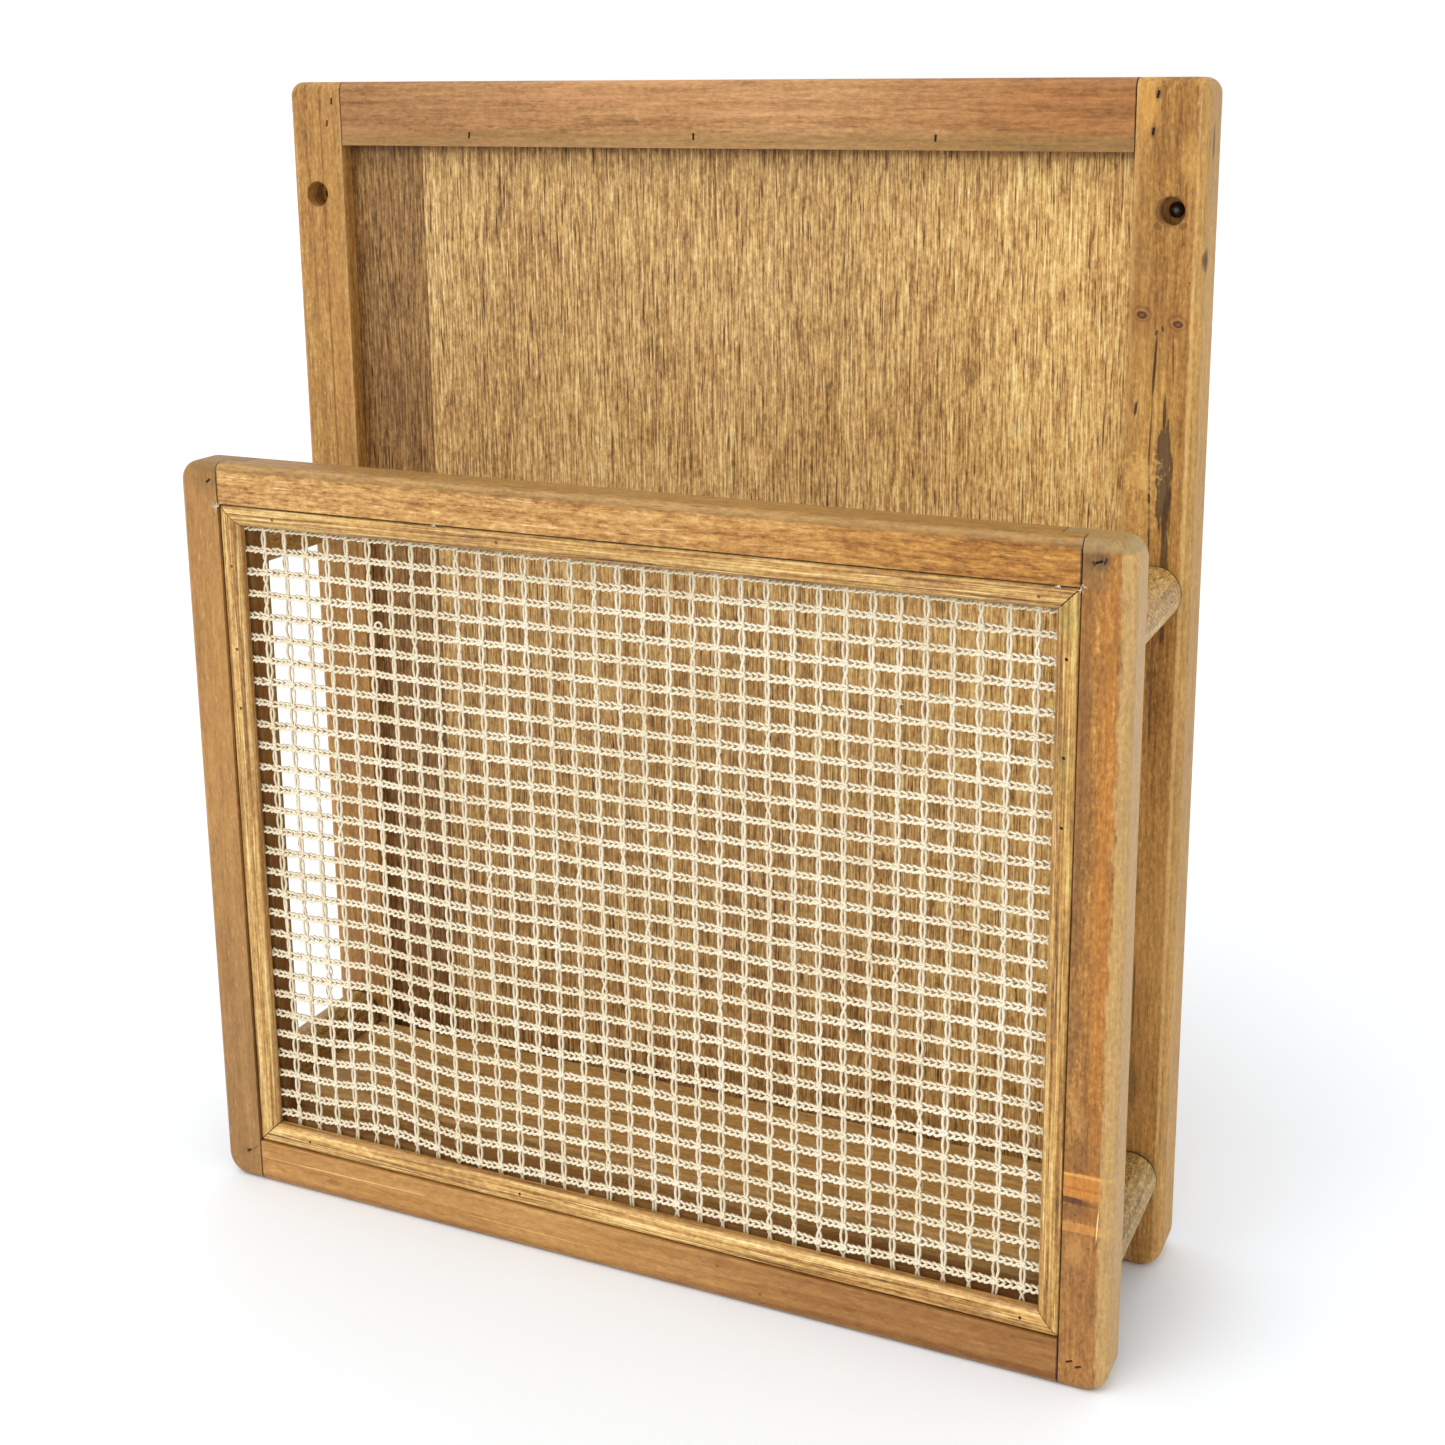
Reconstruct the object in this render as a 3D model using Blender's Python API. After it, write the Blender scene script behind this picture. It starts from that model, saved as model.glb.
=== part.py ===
"""Magazine rack: a low front frame with a cord net stands before a tall back frame with a plywood panel.

Four round dowels and a bottom board tie the two frames together. Units are metres: +X is to the right,
+Y is to the back and +Z is up. The origin is the middle of the rack's footprint, on the floor.
"""

import math

import bmesh
import bpy
from mathutils import Vector

MM = 0.001

# The whole rack
WIDTH = 330 * MM
DEPTH = 92 * MM
HALF_WIDTH = WIDTH / 2
GAP = 0.3 * MM  # left between pieces that touch
EDGE_RADIUS = 3.2 * MM  # the sanded long edges of both frames
OVERSHOOT = 5 * MM  # how far a cutting shape runs past the wood

# Front frame
FRONT_HEIGHT = 267 * MM
FRONT_THICKNESS = 16 * MM
FRONT_FACE = -DEPTH / 2
FRONT_BACK = FRONT_FACE + FRONT_THICKNESS
FRONT_STILE_FACE = 15.5 * MM  # width seen beside the bead
FRONT_TOP_FACE = 14 * MM
FRONT_BOTTOM_FACE = 16 * MM
FRONT_CORNERS = (7 * MM, 8 * MM)  # radii at the top and at the bottom
REBATE_WIDTH = 7.5 * MM
REBATE_FLOOR = FRONT_FACE + 6.5 * MM
FRONT_SHOULDER = HALF_WIDTH - FRONT_STILE_FACE
FRONT_OPENING = FRONT_SHOULDER - REBATE_WIDTH
FRONT_TOP_SHOULDER = FRONT_HEIGHT - FRONT_TOP_FACE
FRONT_BOTTOM_SHOULDER = FRONT_BOTTOM_FACE

# Back frame
BACK_HEIGHT = 392 * MM
BACK_THICKNESS = 20 * MM
BACK_REAR = DEPTH / 2
BACK_FACE = BACK_REAR - BACK_THICKNESS
BACK_MEMBER = 22 * MM  # width of its stiles and rails
BACK_CORNERS = (5 * MM, 8 * MM)
BACK_SHOULDER = HALF_WIDTH - BACK_MEMBER

# Plywood panel in its groove
PANEL_FACE = BACK_FACE + 6 * MM
PANEL_THICKNESS = 4 * MM
GROOVE_DEPTH = 5 * MM

# Rail tenons, as distances from the frame's outer edge and planes across its thickness
TENON_END = HALF_WIDTH - 7 * MM
FRONT_TENON = (FRONT_FACE + 8.9 * MM, FRONT_FACE + 13.5 * MM)
FRONT_TENON_EDGES = (3.8 * MM, 17 * MM)
BACK_TENON = (BACK_FACE + 6.5 * MM, BACK_FACE + 13.5 * MM)
BACK_TENON_EDGES = (3.6 * MM, 16.9 * MM)

# Beads over the net's edge
BEAD_BACK = REBATE_FLOOR - 2.3 * MM
BEAD_WALL = 1.2 * MM
BEAD_CREST = FRONT_FACE + 0.4 * MM
BEAD_ROUND = 4.9 * MM  # width of its rounded part
BEAD_EASE = 0.5 * MM  # its outer edge, sanded off
BEAD_STEPS = 9
BEAD_GAP = 0.45 * MM  # open seam between a bead and the frame around it

# Net, as the plain sheet that its cords fill
NET_BACK = REBATE_FLOOR - GAP
NET_FRONT = BEAD_BACK + GAP
NET_INSET = 1.5 * MM  # its edge to the rebate's side

# Dowels
DOWEL_RADIUS = 8.7 * MM
DOWEL_X = 154.1 * MM
DOWEL_HEIGHTS = {"upper": 235 * MM, "lower": 34 * MM}
DOWEL_CHAMFER = 0.5 * MM
SPIGOT_RADIUS = 4.5 * MM
SPIGOT_FRONT = 9 * MM
SPIGOT_BACK = 11 * MM

# Bottom board
BOARD_TOP = 31.5 * MM
BOARD_THICKNESS = 15 * MM
BOARD_HALF_LENGTH = 145 * MM
BOARD_EDGE = 0.8 * MM

# Hanging holes and the screws in them
HOLE_X = 154.4 * MM
HOLE_Z = 352.7 * MM
COUNTERBORE_RADIUS = 4.5 * MM
COUNTERBORE_DEPTH = 9 * MM
SCREW_HOLE_RADIUS = 1.8 * MM
SCREW_HEAD_RADIUS = 2.5 * MM
SCREW_HEAD_HEIGHT = 2 * MM
SCREW_SHANK_RADIUS = 1.4 * MM

# Flat pins from a nail gun: half width, half height, how deep the head is sunk, and length
PIN = (0.28 * MM, 1.0 * MM, 0.5 * MM, 13 * MM)

# Round brads and nails: radius, how deep the head is sunk, and length
BRAD = (0.45 * MM, 0.3 * MM, 9 * MM)
NAIL = (0.8 * MM, 0.4 * MM, 30 * MM)
PIN_CLEARANCE = 0.12 * MM
PIN_SIDES = 8
HOLE_MOUTH = 1 * MM  # how far a hole's cutter starts outside the wood

# Each flat pin's place and how far its head leans to the right of upright, in degrees
FRONT_PINS = {
    "front_pin_upper_left": (-152.6 * MM, 260.7 * MM, 52),
    "front_pin_upper_right": (154.2 * MM, 260.7 * MM, 70),
    "front_pin_lower_left": (-154.5 * MM, 11.1 * MM, 60),
    "front_pin_lower_right_1": (153.0 * MM, 9.6 * MM, 68),
    "front_pin_lower_right_2": (155.8 * MM, 8.4 * MM, 68),
}
BACK_PINS = {
    "back_pin_upper_left_1": (-146.5 * MM, 385.3 * MM, 4),
    "back_pin_upper_left_2": (-148.8 * MM, 377.6 * MM, 6),
    "back_pin_upper_right_1": (149.4 * MM, 387.0 * MM, 12),
    "back_pin_upper_right_2": (148.3 * MM, 376.2 * MM, 7),
    "back_pin_lower_left_1": (-148.5 * MM, 5.5 * MM, 5),
    "back_pin_lower_left_2": (-148.5 * MM, 15.0 * MM, 5),
    "back_pin_lower_right_1": (148.5 * MM, 5.5 * MM, 5),
    "back_pin_lower_right_2": (148.5 * MM, 15.0 * MM, 5),
}
PANEL_BRAD_Z = BACK_HEIGHT - 18.2 * MM
PANEL_BRADS = {
    "panel_brad_left": (-89.8 * MM, PANEL_BRAD_Z, 8),
    "panel_brad_middle": (-3.9 * MM, PANEL_BRAD_Z, 0),
    "panel_brad_right": (79.9 * MM, PANEL_BRAD_Z, 4),
}
BEAD_BRAD_X = {"1": -127.5 * MM, "2": -40.5 * MM, "3": 137.0 * MM}
BEAD_BRAD_Z = {"1": 231.5 * MM, "2": 202.2 * MM, "3": 181.0 * MM}
BOARD_NAIL_X = 100 * MM
BOARD_NAIL_Z = 19.6 * MM

CORNER_SEGMENTS = 8
EDGE_SEGMENTS = 5

# Base colour, roughness, metallic
FINISHES = {
    "frame_wood": ((0.52, 0.27, 0.10), 0.50, 0.0),
    "bead_wood": ((0.60, 0.36, 0.14), 0.50, 0.0),
    "plywood": ((0.46, 0.27, 0.10), 0.60, 0.0),
    "dowel_wood": ((0.44, 0.29, 0.11), 0.60, 0.0),
    "board_wood": ((0.42, 0.23, 0.10), 0.60, 0.0),
    "net_cord": ((0.76, 0.66, 0.46), 0.90, 0.0),
    "pin_steel": ((0.09, 0.06, 0.04), 0.50, 0.8),
    "screw_black": ((0.02, 0.02, 0.02), 0.35, 0.7),
}


def finish(name):
    """The named material, made the first time it is asked for."""
    material = bpy.data.materials.get(name)
    if material is None:
        colour, roughness, metallic = FINISHES[name]
        material = bpy.data.materials.new(name)
        material.use_nodes = True
        shader = material.node_tree.nodes["Principled BSDF"]
        shader.inputs["Base Color"].default_value = (*colour, 1.0)
        shader.inputs["Roughness"].default_value = roughness
        shader.inputs["Metallic"].default_value = metallic
        material.diffuse_color = (*colour, 1.0)
    return material


def new_object(name, form, material=None):
    """An object with the bmesh's shape, shaded smooth except across real edges."""
    bmesh.ops.recalc_face_normals(form, faces=form.faces)
    mesh = bpy.data.meshes.new(name)
    form.to_mesh(mesh)
    form.free()
    mesh.shade_smooth()
    mesh.set_sharp_from_angle(angle=math.radians(30))
    obj = bpy.data.objects.new(name, mesh)
    bpy.context.scene.collection.objects.link(obj)
    if material:
        mesh.materials.append(finish(material))
    return obj


def loft(rings):
    """A closed form through rings of equal point counts, with flat ends."""
    form = bmesh.new()
    made = [[form.verts.new(point) for point in ring] for ring in rings]
    count = len(made[0])
    for ring, following in zip(made, made[1:]):
        for i in range(count):
            j = (i + 1) % count
            form.faces.new((ring[i], ring[j], following[j], following[i]))
    form.faces.new(made[0])
    form.faces.new(made[-1])
    return form


def prism(outline, axis, start, end):
    """An outline of (a, b) points swept along one axis; (a, b) are the other two axes in X, Y, Z order."""
    order = {"X": (2, 0, 1), "Y": (0, 2, 1), "Z": (0, 1, 2)}[axis]
    rings = []
    for place in (start, end):
        rings.append([Vector([(a, b, place)[i] for i in order]) for a, b in outline])
    return loft(rings)


def box(low, high):
    """A block between two opposite corners."""
    outline = [(low[0], low[1]), (high[0], low[1]), (high[0], high[1]), (low[0], high[1])]
    return prism(outline, "Z", low[2], high[2])


def turned(x, z, profile, sides):
    """A round form along Y about (x, z), through (y, radius) pairs."""
    rings = []
    for y, radius in profile:
        angles = [2 * math.pi * i / sides for i in range(sides)]
        rings.append([Vector((x + radius * math.cos(a), y, z + radius * math.sin(a))) for a in angles])
    return loft(rings)


def blade(x, z, lean, half_width, half_height, start, end):
    """A flat bar along Y about (x, z), leaning right by an angle in degrees."""
    upright = Vector((math.sin(math.radians(lean)), 0, math.cos(math.radians(lean))))
    sideways = Vector((upright.z, 0, -upright.x))
    rings = []
    for y in (start, end):
        corners = ((1, 1), (-1, 1), (-1, -1), (1, -1))
        middle = Vector((x, y, z))
        rings.append([middle + sideways * a * half_width + upright * b * half_height for a, b in corners])
    return loft(rings)


def combine(obj, form, operation):
    """Joins, cuts or intersects the object with the form, and keeps only the result."""
    tool = new_object(obj.name + "_tool", form)
    change = obj.modifiers.new(operation.title(), "BOOLEAN")
    change.operation = operation
    change.solver = "EXACT"
    change.object = tool
    bpy.context.view_layer.update()
    evaluated = obj.evaluated_get(bpy.context.evaluated_depsgraph_get())
    result = bpy.data.meshes.new_from_object(evaluated)
    before = obj.data
    obj.modifiers.clear()
    obj.data = result
    name = before.name
    bpy.data.meshes.remove(before)
    result.name = name
    tool_mesh = tool.data
    bpy.data.objects.remove(tool)
    bpy.data.meshes.remove(tool_mesh)


def rounded_outline(height, corners, inset):
    """The frame's outline in X and Z, drawn in by inset, with its four corners as arcs."""
    top_radius, bottom_radius = corners
    places = (
        (1, height, top_radius, 0),
        (-1, height, top_radius, 90),
        (-1, 0, bottom_radius, 180),
        (1, 0, bottom_radius, 270),
    )
    outline = []
    for side, edge, radius, start in places:
        centre_x = side * (HALF_WIDTH - radius)
        centre_z = edge - radius if edge else radius
        for step in range(CORNER_SEGMENTS + 1):
            angle = math.radians(start + 90 * step / CORNER_SEGMENTS)
            reach = radius - inset
            outline.append((centre_x + reach * math.cos(angle), centre_z + reach * math.sin(angle)))
    return outline


def frame_blank(height, corners, front, rear):
    """A whole frame's outer shape: rounded corners and rounded long edges, front and rear."""
    rings = []
    steps = [math.radians(90 * i / EDGE_SEGMENTS) for i in range(EDGE_SEGMENTS + 1)]
    for angle in steps:
        inset = EDGE_RADIUS * (1 - math.sin(angle))
        y = front + EDGE_RADIUS * (1 - math.cos(angle))
        rings.append([Vector((x, y, z)) for x, z in rounded_outline(height, corners, inset)])
    for angle in reversed(steps):
        inset = EDGE_RADIUS * (1 - math.sin(angle))
        y = rear - EDGE_RADIUS * (1 - math.cos(angle))
        rings.append([Vector((x, y, z)) for x, z in rounded_outline(height, corners, inset)])
    return loft(rings)


def front_blank():
    return frame_blank(FRONT_HEIGHT, FRONT_CORNERS, FRONT_FACE, FRONT_BACK)


def back_blank():
    return frame_blank(BACK_HEIGHT, BACK_CORNERS, BACK_FACE, BACK_REAR)


def side_box(side, inner, outer, y_range, z_range):
    """A block between two distances from the middle, on the right (side 1) or the left (side -1)."""
    xs = sorted((side * inner, side * outer))
    return box((xs[0], y_range[0], z_range[0]), (xs[1], y_range[1], z_range[1]))


def drill(obj, x, z, start, end, radius, sides=PIN_SIDES):
    combine(obj, turned(x, z, ((start, radius), (end, radius)), sides), "DIFFERENCE")


def grown(span, by):
    return (span[0] - by, span[1] + by)


def front_stile(side):
    """A front stile: rebated for the net, mortised for both rails, with sockets for two dowels."""
    stile = new_object("front_stile_" + {1: "right", -1: "left"}[side], front_blank(), "frame_wood")
    past = (FRONT_FACE - OVERSHOOT, FRONT_BACK + OVERSHOOT)
    keep = side_box(
        side, FRONT_OPENING, HALF_WIDTH + OVERSHOOT, past, (-OVERSHOOT, FRONT_HEIGHT + OVERSHOOT)
    )
    combine(stile, keep, "INTERSECT")
    rebate = side_box(
        side,
        FRONT_OPENING - OVERSHOOT,
        FRONT_SHOULDER,
        (FRONT_FACE - OVERSHOOT, REBATE_FLOOR),
        (-OVERSHOOT, FRONT_HEIGHT + OVERSHOOT),
    )
    combine(stile, rebate, "DIFFERENCE")
    for low, high in front_tenon_heights():
        mortise = side_box(
            side,
            FRONT_OPENING - OVERSHOOT,
            TENON_END + GAP,
            grown(FRONT_TENON, GAP),
            grown((low, high), GAP),
        )
        combine(stile, mortise, "DIFFERENCE")
    for z in DOWEL_HEIGHTS.values():
        drill(
            stile,
            side * DOWEL_X,
            z,
            FRONT_BACK - SPIGOT_FRONT - GAP,
            FRONT_BACK + OVERSHOOT,
            SPIGOT_RADIUS + GAP,
            32,
        )
    return stile


def front_tenon_heights():
    near, far = FRONT_TENON_EDGES
    return ((near, far), (FRONT_HEIGHT - far, FRONT_HEIGHT - near))


def front_rail(level):
    """A front rail: its front layer reaches over the stiles' rebates, and its tenons go into them."""
    rail = new_object("front_" + level + "_rail", front_blank(), "frame_wood")
    upper = level == "top"
    opening = FRONT_TOP_SHOULDER - REBATE_WIDTH if upper else FRONT_BOTTOM_SHOULDER + REBATE_WIDTH
    shoulder = FRONT_TOP_SHOULDER if upper else FRONT_BOTTOM_SHOULDER
    outer = FRONT_HEIGHT + OVERSHOOT if upper else -OVERSHOOT
    past_opening = opening - OVERSHOOT if upper else opening + OVERSHOOT
    end = FRONT_SHOULDER - GAP
    combine(
        rail,
        box(
            (-end, FRONT_FACE - OVERSHOOT, min(opening, outer)),
            (end, FRONT_BACK + OVERSHOOT, max(opening, outer)),
        ),
        "INTERSECT",
    )
    combine(
        rail,
        box(
            (-HALF_WIDTH, FRONT_FACE - OVERSHOOT, min(shoulder, past_opening)),
            (HALF_WIDTH, REBATE_FLOOR, max(shoulder, past_opening)),
        ),
        "DIFFERENCE",
    )
    low, high = front_tenon_heights()[1 if upper else 0]
    for side in (-1, 1):
        lip_notch = side_box(
            side,
            FRONT_OPENING - GAP,
            HALF_WIDTH,
            (REBATE_FLOOR - GAP, FRONT_BACK + OVERSHOOT),
            (-OVERSHOOT, FRONT_HEIGHT + OVERSHOOT),
        )
        combine(rail, lip_notch, "DIFFERENCE")
        tenon = side_box(side, FRONT_OPENING - OVERSHOOT, TENON_END, FRONT_TENON, (low, high))
        combine(rail, tenon, "UNION")
    return rail


def bead_section(towards_outside):
    """Section as (distance past the opening, y) points: round at the opening, nearly flat towards the shoulder."""
    width = REBATE_WIDTH - BEAD_GAP
    spring_line = BEAD_BACK - BEAD_WALL
    rise = spring_line - BEAD_CREST
    section = [(0, BEAD_BACK)]
    for step in range(BEAD_STEPS + 1):
        angle = math.pi / 2 * step / BEAD_STEPS
        section.append((BEAD_ROUND * (1 - math.cos(angle)), spring_line - rise * math.sin(angle)))
    section.append((width - BEAD_EASE, BEAD_CREST + BEAD_EASE / 2))
    section.append((width, BEAD_CREST + BEAD_EASE * 1.5))
    section.append((width, BEAD_BACK))
    return [(towards_outside * across, y) for across, y in section]


def bead(name, axis, side):
    """A bead along one side of the opening, mitred at both ends."""
    low = FRONT_BOTTOM_SHOULDER + REBATE_WIDTH
    high = FRONT_TOP_SHOULDER - REBATE_WIDTH
    middle = Vector((0, 0, (low + high) / 2))
    half_length = (high - low) / 2 if axis == "Z" else FRONT_OPENING
    half_across = FRONT_OPENING if axis == "Z" else (high - low) / 2
    reach = half_length + REBATE_WIDTH
    section = bead_section(side)
    if axis == "Z":
        outline = [(side * half_across + a, y) for a, y in section]
    else:
        outline = [(y, side * half_across + a) for a, y in section]
    form = prism(outline, axis, -reach, reach)
    bmesh.ops.recalc_face_normals(form, faces=form.faces)
    along = Vector((0, 0, 1)) if axis == "Z" else Vector((1, 0, 0))
    across = Vector((1, 0, 0)) if axis == "Z" else Vector((0, 0, 1))
    for end in (-1, 1):
        corner = along * end * half_length + across * side * half_across
        normal = (along * end - across * side).normalized()
        cut = bmesh.ops.bisect_plane(
            form,
            geom=form.verts[:] + form.edges[:] + form.faces[:],
            plane_co=corner - normal * GAP / 2,
            plane_no=normal,
            clear_outer=True,
        )
        edges = [item for item in cut["geom_cut"] if isinstance(item, bmesh.types.BMEdge)]
        bmesh.ops.holes_fill(form, edges=edges)
    bmesh.ops.translate(form, verts=form.verts, vec=middle)
    return new_object(name, form, "bead_wood")


def back_tenon_heights():
    near, far = BACK_TENON_EDGES
    return ((near, far), (BACK_HEIGHT - far, BACK_HEIGHT - near))


def groove_span():
    return grown((PANEL_FACE, PANEL_FACE + PANEL_THICKNESS), GAP)


def back_stile(side):
    """A back stile: grooved for the panel, mortised for the rails, with dowel sockets and a hanging hole."""
    stile = new_object("back_stile_" + {1: "right", -1: "left"}[side], back_blank(), "frame_wood")
    past = (BACK_FACE - OVERSHOOT, BACK_REAR + OVERSHOOT)
    keep = side_box(
        side, BACK_SHOULDER, HALF_WIDTH + OVERSHOOT, past, (-OVERSHOOT, BACK_HEIGHT + OVERSHOOT)
    )
    combine(stile, keep, "INTERSECT")
    groove_ends = (BACK_MEMBER - GROOVE_DEPTH, BACK_HEIGHT - BACK_MEMBER + GROOVE_DEPTH)
    groove = side_box(
        side, BACK_SHOULDER - OVERSHOOT, BACK_SHOULDER + GROOVE_DEPTH, groove_span(), groove_ends
    )
    combine(stile, groove, "DIFFERENCE")
    for low, high in back_tenon_heights():
        mortise = side_box(
            side,
            BACK_SHOULDER - OVERSHOOT,
            TENON_END + GAP,
            grown(BACK_TENON, GAP),
            grown((low, high), GAP),
        )
        combine(stile, mortise, "DIFFERENCE")
    for z in DOWEL_HEIGHTS.values():
        drill(
            stile,
            side * DOWEL_X,
            z,
            BACK_FACE - OVERSHOOT,
            BACK_FACE + SPIGOT_BACK + GAP,
            SPIGOT_RADIUS + GAP,
            32,
        )
    counterbore_floor = BACK_FACE + COUNTERBORE_DEPTH
    hole = (
        (BACK_FACE - OVERSHOOT, COUNTERBORE_RADIUS),
        (counterbore_floor, COUNTERBORE_RADIUS),
        (counterbore_floor, SCREW_HOLE_RADIUS),
        (BACK_REAR + OVERSHOOT, SCREW_HOLE_RADIUS),
    )
    combine(stile, turned(side * HOLE_X, HOLE_Z, hole, 32), "DIFFERENCE")
    return stile


def back_rail(level):
    """A back rail: grooved for the panel, with a tenon at each end."""
    rail = new_object("back_" + level + "_rail", back_blank(), "frame_wood")
    upper = level == "top"
    inner = BACK_HEIGHT - BACK_MEMBER if upper else BACK_MEMBER
    outer = BACK_HEIGHT + OVERSHOOT if upper else -OVERSHOOT
    groove_floor = inner + GROOVE_DEPTH if upper else inner - GROOVE_DEPTH
    past_inner = inner - OVERSHOOT if upper else inner + OVERSHOOT
    end = BACK_SHOULDER - GAP
    combine(
        rail,
        box(
            (-end, BACK_FACE - OVERSHOOT, min(inner, outer)),
            (end, BACK_REAR + OVERSHOOT, max(inner, outer)),
        ),
        "INTERSECT",
    )
    low, high = back_tenon_heights()[1 if upper else 0]
    for side in (-1, 1):
        tenon = side_box(side, end - OVERSHOOT, TENON_END, BACK_TENON, (low, high))
        combine(rail, tenon, "UNION")
    front, rear = groove_span()
    combine(
        rail,
        box(
            (-end - OVERSHOOT, front, min(groove_floor, past_inner)),
            (end + OVERSHOOT, rear, max(groove_floor, past_inner)),
        ),
        "DIFFERENCE",
    )
    return rail


def back_panel():
    """The plywood sheet, held on all sides in the back frame's groove."""
    side = BACK_SHOULDER + GROOVE_DEPTH - GAP
    low = BACK_MEMBER - GROOVE_DEPTH + GAP
    high = BACK_HEIGHT - low
    form = box((-side, PANEL_FACE, low), (side, PANEL_FACE + PANEL_THICKNESS, high))
    return new_object("back_panel", form, "plywood")


def net_panel():
    """The net's sheet, clamped between the beads and the rebate's floor."""
    side = FRONT_SHOULDER - NET_INSET
    form = box(
        (-side, NET_FRONT, FRONT_BOTTOM_SHOULDER + NET_INSET),
        (side, NET_BACK, FRONT_TOP_SHOULDER - NET_INSET),
    )
    return new_object("net_panel", form, "net_cord")


def dowel(level, side):
    """A round dowel between the stiles, with a thinner spigot glued into each."""
    front = FRONT_BACK + GAP
    rear = BACK_FACE - GAP
    profile = (
        (FRONT_BACK - SPIGOT_FRONT, SPIGOT_RADIUS),
        (front, SPIGOT_RADIUS),
        (front, DOWEL_RADIUS - DOWEL_CHAMFER),
        (front + DOWEL_CHAMFER, DOWEL_RADIUS),
        (rear - DOWEL_CHAMFER, DOWEL_RADIUS),
        (rear, DOWEL_RADIUS - DOWEL_CHAMFER),
        (rear, SPIGOT_RADIUS),
        (BACK_FACE + SPIGOT_BACK, SPIGOT_RADIUS),
    )
    name = "dowel_" + level + "_" + {1: "right", -1: "left"}[side]
    return new_object(name, turned(side * DOWEL_X, DOWEL_HEIGHTS[level], profile, 32), "dowel_wood")


def bottom_board():
    """The board that the magazines stand on, between the two frames, with its long edges eased."""
    front = FRONT_BACK + GAP
    rear = BACK_FACE - GAP
    low = BOARD_TOP - BOARD_THICKNESS
    outline = [
        (front, low),
        (rear, low),
        (rear, BOARD_TOP - BOARD_EDGE),
        (rear - BOARD_EDGE, BOARD_TOP),
        (front + BOARD_EDGE, BOARD_TOP),
        (front, BOARD_TOP - BOARD_EDGE),
    ]
    form = prism(outline, "X", -BOARD_HALF_LENGTH, BOARD_HALF_LENGTH)
    return new_object("bottom_board", form, "board_wood")


def hanging_screw(side):
    """A round-head screw sunk in the hanging hole."""
    seat = BACK_FACE + COUNTERBORE_DEPTH - GAP
    profile = [
        (seat - SCREW_HEAD_HEIGHT * math.sin(angle), SCREW_HEAD_RADIUS * math.cos(angle))
        for angle in (math.radians(a) for a in (75, 50, 25, 0))
    ]
    profile += [
        (seat, SCREW_SHANK_RADIUS),
        (BACK_REAR - 2 * MM, SCREW_SHANK_RADIUS),
        (BACK_REAR - GAP, SCREW_SHANK_RADIUS / 3),
    ]
    name = "hanging_screw_" + {1: "right", -1: "left"}[side]
    return new_object(name, turned(side * HOLE_X, HOLE_Z, profile, 20), "screw_black")


def fastener(name, place, surface, kind, through, heading=1):
    """A round brad or nail sunk into a surface along Y, and its hole in each piece that it passes through."""
    radius, sunk, length = kind
    x, z = place
    head = surface + heading * sunk
    tip = head + heading * length
    form = turned(x, z, ((min(head, tip), radius), (max(head, tip), radius)), PIN_SIDES)
    new_object(name, form, "pin_steel")
    mouth = surface - heading * HOLE_MOUTH
    floor = tip + heading * PIN_CLEARANCE
    for piece in through:
        drill(piece, x, z, min(mouth, floor), max(mouth, floor), radius + PIN_CLEARANCE)


def flat_pin(name, place, surface, through):
    """A flat pin sunk into a front surface, and its slot in each piece that it passes through."""
    half_width, half_height, sunk, length = PIN
    x, z, lean = place
    head = surface + sunk
    tip = head + length
    new_object(name, blade(x, z, lean, half_width, half_height, head, tip), "pin_steel")
    wide, high = half_width + PIN_CLEARANCE, half_height + PIN_CLEARANCE
    for piece in through:
        slot = blade(x, z, lean, wide, high, surface - HOLE_MOUTH, tip + PIN_CLEARANCE)
        combine(piece, slot, "DIFFERENCE")


def bead_brads(beads, net, stiles, rails):
    """Brads through the crests of the beads, the net's edge and the rebate's floor."""
    half_width = (REBATE_WIDTH - BEAD_GAP) / 2
    side_x = FRONT_OPENING + half_width
    rows = {
        "bottom": FRONT_BOTTOM_SHOULDER + REBATE_WIDTH - half_width,
        "top": FRONT_TOP_SHOULDER - REBATE_WIDTH + half_width,
    }
    for level, z in rows.items():
        for number, x in BEAD_BRAD_X.items():
            name = "bead_brad_" + level + "_" + number
            fastener(name, (x, z), BEAD_CREST, BRAD, (beads[level], net, rails[level]))
    for side, word in ((-1, "left"), (1, "right")):
        for number, z in BEAD_BRAD_Z.items():
            name = "bead_brad_" + word + "_" + number
            fastener(name, (side * side_x, z), BEAD_CREST, BRAD, (beads[word], net, stiles[side]))


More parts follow.
